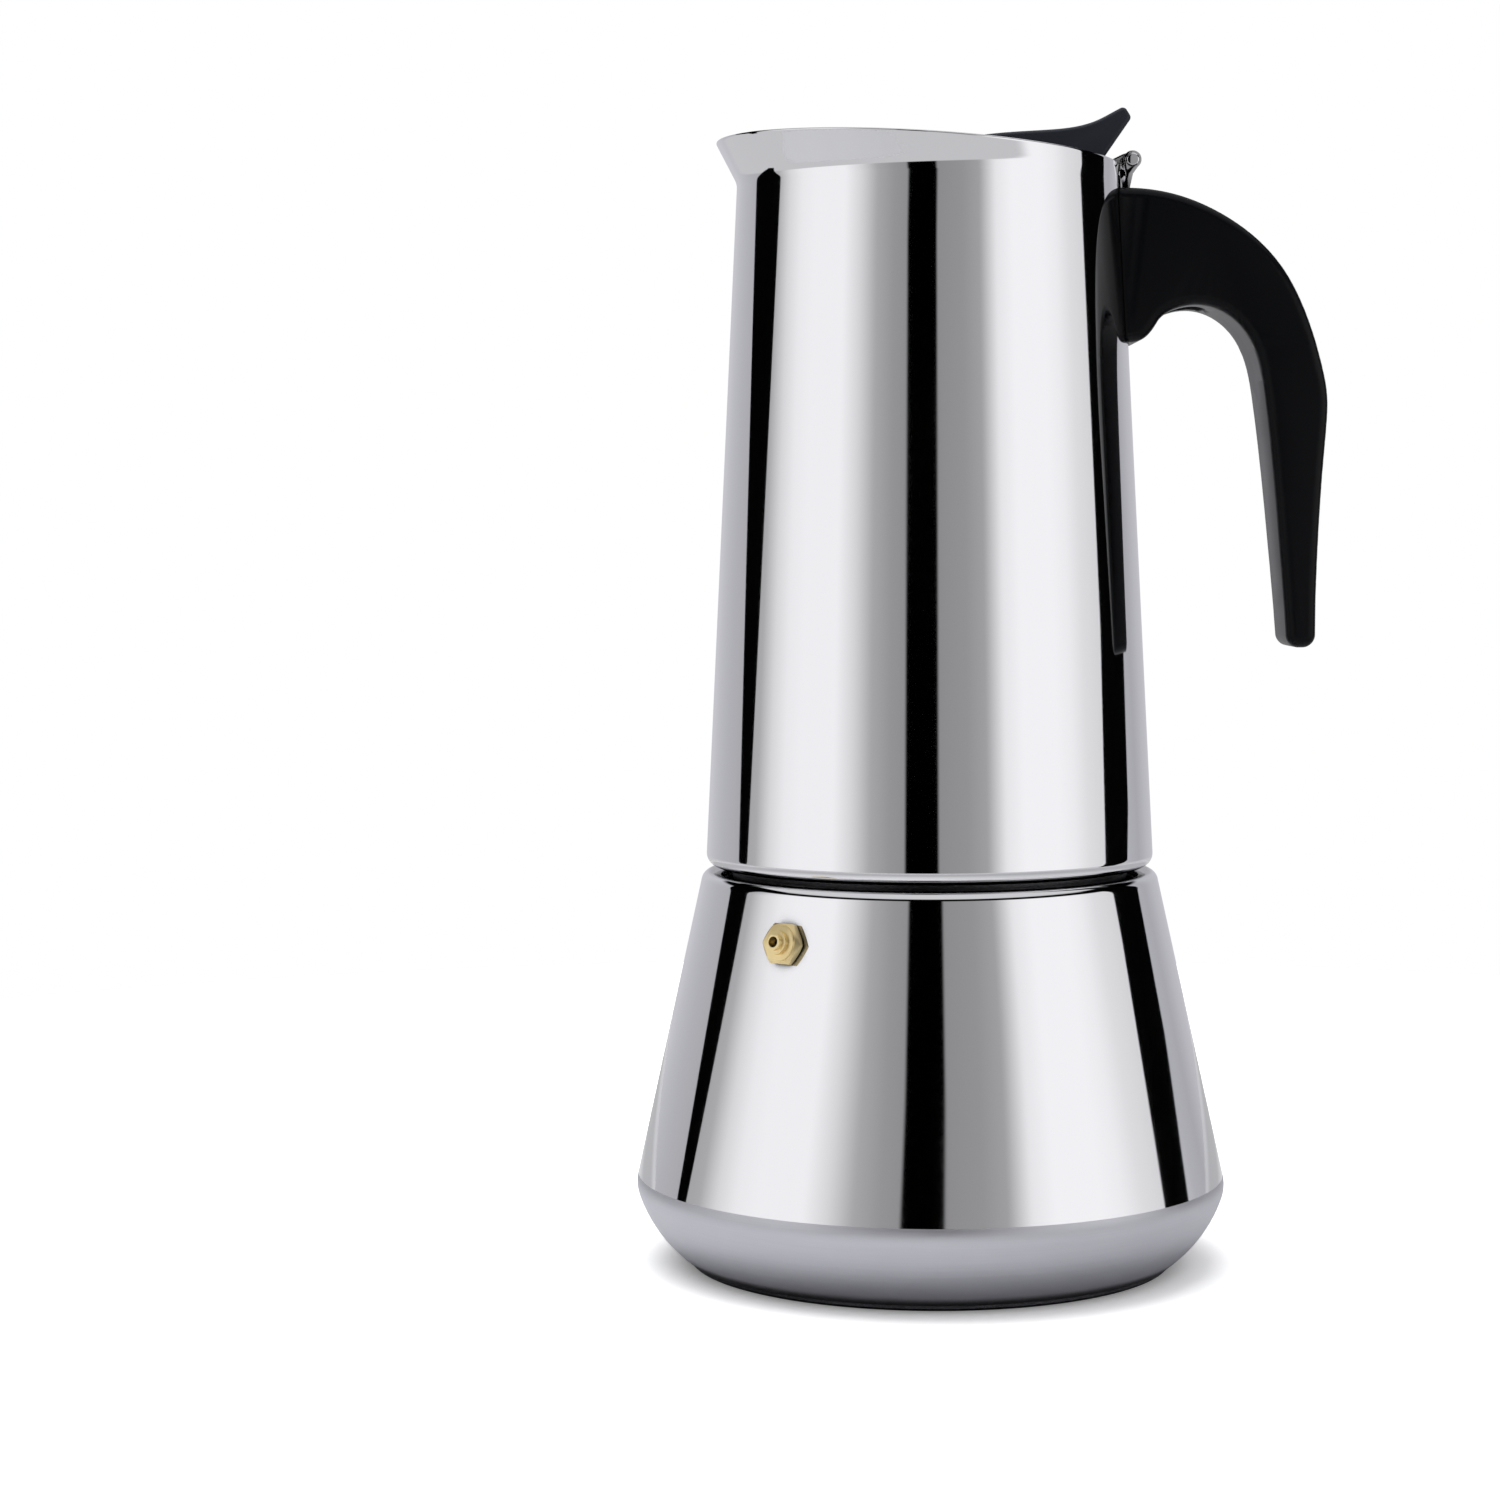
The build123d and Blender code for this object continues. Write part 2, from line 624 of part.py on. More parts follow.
with BuildPart() as handle_grip:
    with BuildSketch(Plane.XZ) as grip_side:
        with BuildLine():
            Spline(
                grip_point(0, 0),
                grip_point(18.8, 4.9),
                grip_point(32.2, 16.9),
                grip_point(39.2, 34.0),
                grip_point(grip_tip_out, 82.5),
                tangents=[(1, 0), (-0.02, -1)],
            )
            Polyline(
                grip_point(grip_tip_out, 82.5),
                grip_point(grip_tip_out, grip_tip_drop),
                grip_point(grip_tip_out - grip_tip_thickness, grip_tip_drop),
                grip_point(32.6, 85.3),
            )
            Spline(
                grip_point(32.6, 85.3),
                grip_point(31.1, 68.3),
                grip_point(28.2, 41.7),
                grip_point(24.1, 28.6),
                grip_point(14.2, 23.3),
                grip_point(6.6, 26.6),
                tangents=[(-0.08, 1), (-0.6, -1)],
            )
            Spline(
                grip_point(6.6, 26.6),
                grip_point(4.4, 29.5),
                grip_point(1.0, grip_block_drop),
                tangents=[(-0.6, -1), (-1, 0)],
            )
            Polyline(
                grip_point(1.0, grip_block_drop),
                grip_point(-grip_width / 4, grip_block_drop),
                grip_point(-grip_width / 4, 0),
                grip_point(0, 0),
            )
        make_face()
        for tip_out in (grip_tip_out, grip_tip_out - grip_tip_thickness):
            fillet(corner(grip_side, *grip_point(tip_out, grip_tip_drop)), grip_tip_round)
    extrude(amount=grip_width, both=True)
    with BuildSketch(Plane.YZ):
        Polygon(
            (grip_width / 2, grip_top + grip_width),
            (grip_width / 2, grip_top - grip_block_drop),
            (grip_tip_width / 2, grip_top - grip_tip_drop - 1),
            (-grip_tip_width / 2, grip_top - grip_tip_drop - 1),
            (-grip_width / 2, grip_top - grip_block_drop),
            (-grip_width / 2, grip_top + grip_width),
            align=None,
        )
    extrude(amount=2 * grip_wall + 2 * grip_tip_out, mode=Mode.INTERSECT)
    long_edges = handle_grip.edges().filter_by(lambda edge: edge.bounding_box().max.X > grip_wall + 0.5)
    fillet(long_edges.filter_by(Axis.Y, reverse=True), grip_edge_round)
    with BuildSketch(Plane.XZ):
        with BuildLine():
            Polyline(
                (0, grip_top - grip_tip_drop),
                (jug_radius(grip_top - grip_tip_drop) + seat_gap, grip_top - grip_tip_drop),
                (jug_radius(grip_top + 1) + seat_gap, grip_top + 1),
                (0, grip_top + 1),
                close=True,
            )
        make_face()
    revolve(axis=Axis.Z, mode=Mode.SUBTRACT)
    with BuildSketch(Plane.XZ):
        with BuildLine():
            Polyline(
                (grip_wall - grip_width / 4, grip_top - bracket_drop - seat_gap),
                (
                    jug_radius(grip_top - bracket_drop) + bracket_sheet + seat_gap,
                    grip_top - bracket_drop - seat_gap,
                ),
                (grip_wall + bracket_sheet + seat_gap, grip_top),
                (grip_wall + bracket_sheet + 2 * seat_gap, grip_top + 1),
                (grip_wall - grip_width / 4, grip_top + 1),
                close=True,
            )
        make_face()
        with Locations((grip_wall, grip_top - tongue_drop + seat_gap)):
            Rectangle(tongue_reach + seat_gap, tongue_thickness + 2 * seat_gap, align=(Align.MIN, Align.MAX))
    extrude(amount=bracket_width / 2 + seat_gap, both=True, mode=Mode.SUBTRACT)
    with BuildSketch(Plane.XY.offset(grip_screw_seat_height)):
        with Locations((grip_screw_x, 0)):
            Circle(grip_washer_radius + seat_gap)
    extrude(amount=-grip_width, mode=Mode.SUBTRACT)
    with BuildSketch(Plane.XY.offset(grip_screw_seat_height)):
        with Locations((grip_screw_x, 0)):
            Circle(grip_screw_radius + seat_gap)
    extrude(amount=grip_screw_length, mode=Mode.SUBTRACT)
save(handle_grip.part, "handle_grip")

with BuildPart() as handle_washer:
    with BuildSketch(Plane.XY.offset(grip_screw_seat_height - grip_washer_thickness)):
        with Locations((grip_screw_x, 0)):
            Circle(grip_washer_radius)
            Circle(grip_screw_radius + hinge_gap, mode=Mode.SUBTRACT)
    extrude(amount=grip_washer_thickness)
save(handle_washer.part, "handle_washer")

with BuildPart() as handle_screw:
    with BuildSketch(grip_screw_plane):
        Circle(grip_screw_head_radius)
    extrude(amount=-grip_screw_head_height)
    fillet(handle_screw.edges().sort_by(Axis.Z)[0], grip_screw_head_height / 3)
    with BuildSketch(grip_screw_plane):
        Circle(grip_screw_radius)
    extrude(amount=grip_screw_length)
    with BuildSketch(grip_screw_plane.offset(-grip_screw_head_height)):
        Rectangle(grip_screw_head_radius, screw_slot_width)
        Rectangle(screw_slot_width, grip_screw_head_radius)
    extrude(amount=grip_screw_head_height / 2, mode=Mode.SUBTRACT)
save(handle_screw.part, "handle_screw")

with BuildPart() as hinge_pin:
    with BuildSketch(Plane.XZ):
        with Locations((pin_x, pin_z)):
            Circle(pin_radius)
    extrude(amount=bracket_width / 2, both=True)
    for side in (-1, 1):
        with BuildSketch(Plane.XZ.offset(side * (bracket_width + pin_head_thickness) / 2)):
            with Locations((pin_x, pin_z)):
                Circle(pin_head_radius)
        extrude(amount=pin_head_thickness / 2, both=True)
    chamfer(hinge_pin.faces().sort_by(Axis.Y)[0].edges(), pin_head_thickness / 2)
    chamfer(hinge_pin.faces().sort_by(Axis.Y)[-1].edges(), pin_head_thickness / 2)
save(hinge_pin.part, "hinge_pin")

# ================================================================ lid

with BuildPart() as lid_shell:
    with BuildSketch(Plane.XZ):
        with BuildLine():
            FilletPolyline(
                (0, lid_height + lid_crown_rise),
                (lid_crown_radius, lid_height + lid_crown_rise),
                (lid_crown_radius + lid_slope_width, lid_height),
                (lid_radius, lid_height),
                (lid_radius, lid_height - lid_skirt_depth),
                radius=[lid_bend, lid_bend, 2 * lid_sheet],
            )
            offset(amount=lid_sheet, side=Side.RIGHT)
        make_face()
    revolve(axis=Axis.Z)
    with BuildSketch(Plane.XY.offset(lid_height)):
        with Locations((lever_screw_x, 0)):
            Circle(lever_screw_radius + seat_gap)
    extrude(amount=2 * lid_crown_rise, mode=Mode.SUBTRACT)
save(lid_shell.part, "lid_shell")

with BuildPart() as lid_leaf:
    with BuildSketch(Plane.XZ):
        Polygon(
            (lid_radius - leaf_lap, lid_height),
            (lid_radius - 2 * lid_sheet, lid_height),
            (lid_radius, rim_handle + rim_gap),
            (pin_x, rim_handle + rim_gap),
            (pin_x, pin_z + knuckle_radius),
            (pin_x - knuckle_radius, pin_z + knuckle_radius * 0.7),
            (lid_radius - 0.5, rim_handle + rim_gap + leaf_sheet),
            (lid_radius - 2 * lid_sheet - 0.5, lid_height + leaf_sheet),
            (lid_radius - leaf_lap, lid_height + leaf_sheet),
            align=None,
        )
        with Locations((pin_x, pin_z)):
            Circle(knuckle_radius)
            Circle(pin_radius + hinge_gap, mode=Mode.SUBTRACT)
    extrude(amount=leaf_width / 2, both=True)
save(lid_leaf.part, "lid_leaf")

with BuildPart() as lid_lever:
    with BuildSketch(Plane.XZ) as lever_side:
        with BuildLine():
            Spline(
                (lever_nose_x, lid_height + 4.2),
                (lever_nose_x + 11.5, lid_height + 6.8),
                (lever_back_x - 11.6, lid_height + 7.4),
                (lever_back_x - 1.3, lid_height + 9.1),
                (lever_back_x + lever_tip_out, lid_height + lever_tip_rise),
                tangents=[(1, 0.45), (1, 0.45)],
            )
            Polyline(
                (lever_back_x + lever_tip_out, lid_height + lever_tip_rise),
                (lever_back_x + lever_beak_out, lid_height + lever_beak_rise),
                (lever_back_x, lid_height + 2 * leaf_sheet),
                (lever_back_x, lid_height),
                (lever_nose_x, lid_height),
                (lever_nose_x, lid_height + 4.2),
            )
        make_face()
        for out, rise in ((lever_tip_out, lever_tip_rise), (lever_beak_out, lever_beak_rise)):
            fillet(corner(lever_side, lever_back_x + out, lid_height + rise), lever_edge_round)
    extrude(amount=lever_width, both=True)
    with BuildSketch(Plane.XY.offset(lid_height - 1)) as lever_plan:
        Polygon(
            (lever_nose_x, -lever_nose_width / 2),
            (lever_back_x + 10, -lever_width / 2),
            (lever_back_x + 10, lever_width / 2),
            (lever_nose_x, lever_nose_width / 2),
            align=None,
        )
        fillet(lever_plan.vertices().sort_by(Axis.X)[:2], lever_nose_width / 3)
    extrude(amount=lever_width, mode=Mode.INTERSECT)
    upper_edges = lid_lever.edges().filter_by(lambda edge: edge.center().Z > lid_height + lid_crown_rise)
    fillet(upper_edges.filter_by(Axis.Y, reverse=True), lever_edge_round * 0.8)
    with BuildSketch(Plane.XZ):
        with BuildLine():
            FilletPolyline(
                (0, lid_height + lid_crown_rise),
                (lid_crown_radius, lid_height + lid_crown_rise),
                (lid_crown_radius + lid_slope_width, lid_height),
                (lid_radius, lid_height),
                radius=lid_bend,
            )
            Polyline(
                (lid_radius, lid_height),
                (lid_radius, lid_height - lid_crown_rise),
                (0, lid_height - lid_crown_rise),
                (0, lid_height + lid_crown_rise),
            )
        make_face()
    revolve(axis=Axis.Z, mode=Mode.SUBTRACT)
    with BuildSketch(Plane.XY.offset(lid_height)):
        with Locations((lid_radius - leaf_lap - seat_gap, 0)):
            Rectangle(leaf_lap * 2, leaf_width + 2 * seat_gap, align=(Align.MIN, Align.CENTER))
    extrude(amount=leaf_sheet + seat_gap, mode=Mode.SUBTRACT)
    with BuildSketch(lever_screw_plane):
        Circle(lever_screw_radius + hinge_gap)
    extrude(amount=lever_screw_length + seat_gap, mode=Mode.SUBTRACT)
save(lid_lever.part, "lid_lever")

with BuildPart() as lever_washer:
    with BuildSketch(lever_screw_plane):
        Circle(lever_washer_radius)
        Circle(lever_screw_radius + seat_gap, mode=Mode.SUBTRACT)
    extrude(amount=lever_washer_thickness)
save(lever_washer.part, "lever_washer")

with BuildPart() as lever_screw:
    with BuildSketch(lever_screw_plane):
        Circle(lever_screw_head_radius)
    extrude(amount=-lever_screw_head_height)
    fillet(lever_screw.edges().sort_by(Axis.Z)[0], lever_screw_head_height / 3)
    with BuildSketch(lever_screw_plane):
        Circle(lever_screw_radius)
    extrude(amount=lever_screw_length)
    with BuildSketch(lever_screw_plane.offset(-lever_screw_head_height)):
        Rectangle(lever_screw_head_radius, screw_slot_width)
        Rectangle(screw_slot_width, lever_screw_head_radius)
    extrude(amount=lever_screw_head_height / 2, mode=Mode.SUBTRACT)
save(lever_screw.part, "lever_screw")
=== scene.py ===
import json
import math

import bmesh
import bpy
from mathutils import Matrix, Vector


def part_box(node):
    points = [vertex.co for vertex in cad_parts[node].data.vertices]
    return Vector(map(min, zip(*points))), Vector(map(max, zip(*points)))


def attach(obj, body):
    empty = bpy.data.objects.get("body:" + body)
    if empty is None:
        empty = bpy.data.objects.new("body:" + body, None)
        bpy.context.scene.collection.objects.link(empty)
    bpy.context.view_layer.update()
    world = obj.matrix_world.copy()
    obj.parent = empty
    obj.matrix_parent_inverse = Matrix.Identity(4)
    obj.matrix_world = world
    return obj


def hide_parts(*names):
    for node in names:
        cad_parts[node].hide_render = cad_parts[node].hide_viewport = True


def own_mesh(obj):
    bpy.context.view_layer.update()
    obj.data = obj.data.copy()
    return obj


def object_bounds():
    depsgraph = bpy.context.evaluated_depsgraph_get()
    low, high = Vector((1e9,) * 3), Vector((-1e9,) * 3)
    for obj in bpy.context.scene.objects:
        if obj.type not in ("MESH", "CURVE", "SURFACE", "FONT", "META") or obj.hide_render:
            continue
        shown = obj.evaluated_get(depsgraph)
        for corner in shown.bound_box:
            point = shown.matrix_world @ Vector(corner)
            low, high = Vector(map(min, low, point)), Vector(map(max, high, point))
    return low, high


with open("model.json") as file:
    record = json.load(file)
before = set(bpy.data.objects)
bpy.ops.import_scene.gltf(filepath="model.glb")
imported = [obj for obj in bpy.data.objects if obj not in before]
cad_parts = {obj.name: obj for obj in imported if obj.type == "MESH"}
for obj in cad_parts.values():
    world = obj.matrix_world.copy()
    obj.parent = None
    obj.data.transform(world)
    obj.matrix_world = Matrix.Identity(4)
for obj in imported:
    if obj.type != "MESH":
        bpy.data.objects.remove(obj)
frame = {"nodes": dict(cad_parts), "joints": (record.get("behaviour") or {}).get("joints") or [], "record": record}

# The visible pieces of a steel stovetop coffee maker: mirror-polished boiler and jug, a moulded handle,
# a hinged lid with its lever, a brass safety valve, and the funnel, filter and riser inside.
# Lengths are in metres unless a name says mm. The axis of the pot is Z, and the handle is on +X.

bl_info = {
    "name": "Stovetop Coffee Maker",
    "version": (1, 0, 0),
    "blender": (4, 5, 0),
    "location": "3D View > Sidebar > Coffee Maker",
    "description": "Builds the visible pieces of a screwed steel coffee maker around its frame",
    "category": "Object",
}

MM = 0.001
ROUND = 224                 # sides of a turned piece
RISER_ROUND = 128           # sides of the riser
SMALL_ROUND = 96            # sides of a narrower piece
CAD_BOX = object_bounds()
BASE_LOW, BASE_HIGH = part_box("base_disc")
BOILER_LOW, BOILER_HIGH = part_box("boiler_shell")
NECK_LOW, NECK_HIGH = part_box("boiler_neck")
BASKET_LOW, BASKET_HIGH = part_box("funnel_basket")
STEM_LOW, STEM_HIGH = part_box("funnel_stem")
STRAINER_LOW, STRAINER_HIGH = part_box("basket_strainer")
JUG_LOW, JUG_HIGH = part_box("jug_shell")
RING_LOW, RING_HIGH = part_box("jug_thread_ring")
GASKET_LOW, GASKET_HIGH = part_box("sealing_gasket")
FILTER_LOW, FILTER_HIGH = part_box("filter_plate")
FLOOR_LOW, FLOOR_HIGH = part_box("jug_floor")
RISER_LOW, RISER_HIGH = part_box("riser_tube")
LID_LOW, LID_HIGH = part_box("lid_shell")
SPRING_LOW, SPRING_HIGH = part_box("valve_spring")


def length(name, millimetres, description):
    """A size that a user can change, given here in millimetres and kept in metres."""
    return number(name, millimetres * MM, description, unit="LENGTH", precision=5)


def number(name, value, description, **kind):
    """A plain number that a user can change."""
    return bpy.props.FloatProperty(name=name, description=description, default=value, **kind)


def angle(name, degrees, description):
    """An angle that a user can change, given here in degrees and kept in radians."""
    return number(name, math.radians(degrees), description, subtype="ANGLE")


def tint(name, code, description):
    """A colour that a user can change, given here as an sRGB hex code and kept as linear values."""
    return bpy.props.FloatVectorProperty(
        name=name, description=description, default=to_linear(code), subtype="COLOR", size=4, min=0, max=1
    )


def to_linear(code):
    """Linear red, green, blue and alpha of an sRGB hex code such as "#C0C0C4"."""
    values = [int(code[place : place + 2], 16) / 255 for place in (1, 3, 5)]
    return [v / 12.92 if v <= 0.04045 else ((v + 0.055) / 1.055) ** 2.4 for v in values] + [1.0]


class BoilerSizes(bpy.types.PropertyGroup):
    """Sizes of the boiler, its neck and the base disc."""

    sheet: length("Sheet", 0.9, "Thickness of the boiler's steel")
    foot_radius: length("Foot radius", 50.4, "Radius where the bowl leaves the base disc")
    bowl_height: length("Bowl height", 16.0, "Height of the widest part above the stove")
    bowl_radius: length("Bowl radius", 60.265, "Radius where the bowl's side would meet the cone")
    bowl_bulge: length("Bowl bulge", 1.5, "How far the bowl's side bulges out from a straight line")
    bowl_round: length("Bowl rounding", 7.0, "Rounding between the bowl and the cone")
    shoulder_radius: length("Shoulder radius", 46.1, "Radius of the cone at its top")
    shoulder_round: length("Shoulder rounding", 2.2, "Rounding of the cone's top edge")
    neck_radius: length("Neck radius", 40.2, "Outer radius of the neck under its thread")
    neck_wall: length("Neck wall", 1.6, "Thickness of the neck")
    neck_chamfer: length("Neck chamfer", 0.4, "Chamfer around the top of the neck")
    base_chamfer: length("Disc chamfer", 0.43, "Chamfer around the underside of the base disc")
    mask_overlap: length("Mask overlap", 0.6, "How far the satin finish runs up on to the cone")


class WindingSizes(bpy.types.PropertyGroup):
    """Sizes of what winds, which are the boiler's thread and the valve's spring, and of the valve around it."""

    pitch: length("Pitch", 4.0, "Rise of the thread in one turn")
    depth: length("Depth", 1.1, "Height of the ridge")
    root_width: length("Root width", 1.8, "Width of the ridge where it leaves the wall")
    crest_width: length("Crest width", 0.9, "Width of the ridge at its top")
    male_start: length("Male start", 82.5, "Height where the neck's ridge starts")
    female_start: length("Female start", 84.5, "Height where the collar's ridge starts")
    collar_radius: length("Collar radius", 41.6, "Inner radius of the jug's collar")
    wire_radius: length("Wire radius", 0.2, "Radius of the valve spring's wire")
    spring_radius: length("Spring radius", 1.35, "Radius of the valve spring to the middle of its wire")
    spring_rise: length("Spring rise", 6.2, "Length of the valve spring")
    hexagon: length("Hexagon", 7.8, "Width of the valve's hexagon across its flats")
    lift: length("Lift", 1.0, "How far the valve's poppet lifts")
    slack: length("Slack", 0.1, "Room that the shortened spring leaves at the poppet")
    chamfer: angle("Chamfer", 34, "Angle of the cones that cut the hexagon's corners")
    male_turns: number("Male turns", 1.75, "Turns of the neck's ridge")
    female_turns: number("Female turns", 1.4, "Turns of the collar's ridge")
    spring_turns: number("Spring turns", 6.0, "Turns of the valve spring")


class FunnelSizes(bpy.types.PropertyGroup):
    """Sizes of the funnel and of the sheet-metal pieces inside the jug."""

    sheet: length("Funnel sheet", 0.8, "Thickness of the basket")
    basket_radius: length("Basket radius", 37.8, "Outer radius of the basket")
    cone_drop: length("Cone drop", 9.0, "Height of the basket's cone")
    collar: length("Collar", 5.0, "Length of the collar that holds the stem")
    basket_round: length("Basket rounding", 1.2, "Rounding of the basket's bends")
    thin_sheet: length("Thin sheet", 0.6, "Thickness of the stem and the riser")
    hole_radius: length("Hole radius", 0.9, "Radius of one perforation")
    hole_spacing: length("Hole spacing", 5.2, "Distance between rings of perforations")
    gasket_inner: length("Gasket inner radius", 33.0, "Inner radius of the sealing gasket")


class JugSizes(bpy.types.PropertyGroup):
    """Sizes of the jug, its flared rim, its floor and the riser."""

    sheet: length("Sheet", 0.8, "Thickness of the jug's steel")
    lip_radius: length("Lip radius", 42.6, "Inner radius of the lip turned in under the jug")
    bottom_radius: length("Bottom radius", 45.56, "Radius of the cone at the bottom")
    edge_round: length("Edge rounding", 2.5, "Rounding of the bottom edge")
    crease_height: length("Crease height", 219.2, "Height where the rim starts to flare")
    crease_radius: length("Crease radius", 38.6, "Radius of the jug at the crease")
    crease_bend: length("Crease bend", 1.0, "Half the height over which the wall bends into the rim")
    spout_rise: length("Spout rise", 8.0, "Height of the rim above the crease on the pouring side")
    middle_rise: length("Middle rise", 5.7, "Height of the rim above the crease half way round")
    handle_rise: length("Handle rise", 2.9, "Height of the rim above the crease on the handle side")
    floor_dome: length("Floor dome", 2.6, "How far the floor rises towards the riser")
    floor_flat: length("Floor flat", 9.0, "Width of the flat edge of the floor")
    riser_throat: length("Riser throat", 9.0, "Radius of the riser above its foot")
    riser_top: length("Riser top", 5.2, "Radius of the riser at its top")
    riser_foot: length("Riser foot", 5.0, "Height of the riser's spread foot")
    floor_lap: length("Floor lap", 2.5, "How far the floor's raised middle reaches past the riser, and into it")
    floor_bend: length("Floor bend", 3.0, "Rounding of the bends in the floor")
    flare: number("Flare", 0.26, "How far the rim leans out for each metre of rise")


class LidSizes(bpy.types.PropertyGroup):
    """Sizes of the lid."""

    sheet: length("Sheet", 0.8, "Thickness of the lid's steel")
    crown_radius: length("Crown radius", 24.0, "Radius of the raised middle")
    crown_rise: length("Crown rise", 2.8, "Height of the raised middle above the edge")
    slope_width: length("Slope width", 4.5, "Width of the slope around the raised middle")
    bend: length("Bend", 2.5, "Rounding of the bends in the lid")


class FinishColours(bpy.types.PropertyGroup):
    """Colours of the materials."""

    mirror: tint("Mirror steel", "#EDEDEF", "Reflection of the polished stainless steel")
    satin: tint("Satin steel", "#CFCFD5", "Reflection of the brushed stainless steel")
    brass: tint("Brass", "#FDE8B0", "Reflection of the turned brass")
    grip: tint("Grip", "#050609", "Body colour of the handle's plastic")
    lever: tint("Lever", "#2A2D35", "Body colour of the lever's plastic")
    rubber: tint("Rubber", "#D9D5CB", "Body colour of the silicone seal")
    floor: tint("Floor", "#E2E2E4", "Colour of the studio floor")


class StudioSettings(bpy.types.PropertyGroup):
    """Camera and light."""

    distance: length("Distance", 673.47, "Distance of the camera from the pot's axis")
    height: length("Height", 147.85, "Height of the camera above the floor")
    lens: number("Lens", 79.2, "Focal length in millimetres", unit="CAMERA")
    azimuth: angle("Azimuth", -3, "Direction of the camera from the axis, from the front towards the handle")
    pitch: angle("Pitch", 3.676, "How far the camera looks down")
    yaw: angle("Yaw", 3.107, "How far the camera looks left of the axis")
    roll: angle("Roll", 0.26, "Tilt of the camera to the left")
    floor_glow: number("Floor glow", 0.5, "Light added to the floor where the camera sees it directly")
    lamp_power: number("Lamp power", 13.0, "Power of the soft lamp above the pot", unit="POWER")
    lamp_size: length("Lamp size", 1000, "Width of the soft lamp")
    lamp_height: length("Lamp height", 1250, "Height of the soft lamp above the floor")
    flag_distance: length("Flag distance", 620, "Distance of the black flags from the pot's axis")


# ---- Node and mesh helpers


def add_node(tree, kind, inputs=(), **settings):
    """Adds a node with its settings and fills its sockets.

    Inputs maps a socket's name or place to a value, or lists the first ones. A value can also be the socket that
    it is linked from, a node, which stands for its first output, or a sum such as ("ADD", 1, ("SINE", turn)).
    """
    node = tree.nodes.new(kind)
    for name, value in settings.items():
        setattr(node, name, value)
    for key, value in inputs.items() if isinstance(inputs, dict) else enumerate(inputs):
        if isinstance(value, tuple) and isinstance(value[0], str):
            value = add_node(tree, "ShaderNodeMath", value[1:], operation=value[0])
        if isinstance(value, bpy.types.Node):
            value = value.outputs[0]
        if isinstance(value, bpy.types.NodeSocket):
            tree.links.new(value, node.inputs[key])
        else:
            node.inputs[key].default_value = value
    return node


def arc(centre, start, end, steps):
    """Points from start to end around a centre, the shorter way round."""
    first = math.atan2(start[1] - centre[1], start[0] - centre[0])
    turn = math.atan2(end[1] - centre[1], end[0] - centre[0]) - first
    turn = (turn + math.pi) % (2 * math.pi) - math.pi
    radius = math.dist(centre, start)
    angles = [first + turn * step / steps for step in range(steps + 1)]
    return [(centre[0] + radius * math.cos(a), centre[1] + radius * math.sin(a)) for a in angles]


def rounded(corners, radii, steps=10):
    """An open outline whose inner corners are rounded. There is one radius for each inner corner."""
    outline = [corners[0]]
    for before, here, after, radius in zip(corners, corners[1:], corners[2:], radii):
        back = (Vector(before) - Vector(here)).normalized()
        ahead = (Vector(after) - Vector(here)).normalized()
        half = back.angle(ahead) / 2
        reach = radius / math.tan(half)
        centre = Vector(here) + (back + ahead).normalized() * radius / math.sin(half)
        outline += arc(centre, Vector(here) + back * reach, Vector(here) + ahead * reach, steps)
    return outline + [corners[-1]]


def held(outline):
    """Adds points near the ends of long straight runs and along them, which keeps smooth shading true."""
    gap, stretch = 0.35 * MM, 8 * MM
    result = [outline[0]]
    for start, end in zip(outline, outline[1:]):
        run = math.dist(start, end)
        places = [run]
        if run > 4 * gap:
            count = math.ceil(run / stretch)
            places = [gap] + [run * part / count for part in range(1, count)] + [run - gap, run]
        for place in places:
            share = place / run
            result.append((start[0] + (end[0] - start[0]) * share, start[1] + (end[1] - start[1]) * share))
    return result


def beside(outline, distance):
    """An outline's parallel at a distance to its left."""
    result = []
    for place, point in enumerate(outline):
        before = Vector(point) - Vector(outline[place - 1]) if place else None
        after = Vector(outline[place + 1]) - Vector(point) if place + 1 < len(outline) else None
        runs = [run.normalized() for run in (before, after) if run is not None]
        ahead = sum(runs, Vector((0, 0))).normalized()
        reach = distance / ahead.dot(runs[0])
        result.append((point[0] - ahead.y * reach, point[1] + ahead.x * reach))
    return result


def sheet_outline(outline, sheet):
    """Closed outline of bent sheet: the outline, its parallel at the left, and half-round cut edges."""
    depth, cap_steps = min(sheet / 2, 0.3 * MM), 6
    line = [Vector(point) for point in held(outline)]
    for end, inner in ((0, 1), (-1, -2)):
        if line[end].x > sheet:
            line[end] += (line[inner] - line[end]).normalized() * depth
    twin = [Vector(point) for point in beside(line, sheet)]
    closed = list(line)
    for end, inner, sign in ((-1, -2, 1), (0, 1, -1)):
        ahead = (line[end] - line[inner]).normalized()
        middle = (line[end] + twin[end]) / 2
        side = (line[end] - twin[end]) / 2 * sign
        if line[end].x > sheet:
            for step in range(1, cap_steps):
                angle = math.pi * step / cap_steps
                closed.append(middle + side * math.cos(angle) + ahead * depth * math.sin(angle))
        if end == -1:
            closed += reversed(twin)
    return [(max(point.x, 0.0), point.y) for point in closed]


def ring_outline(inner, outer, low, high, edge):
    """Closed outline of a plain ring with rounded edges."""
    middle = (inner + outer) / 2
    corners = [(middle, low), (outer, low), (outer, high), (inner, high), (inner, low), (middle, low)]
    return held(rounded(corners, [edge] * 4, steps=5))[:-1]


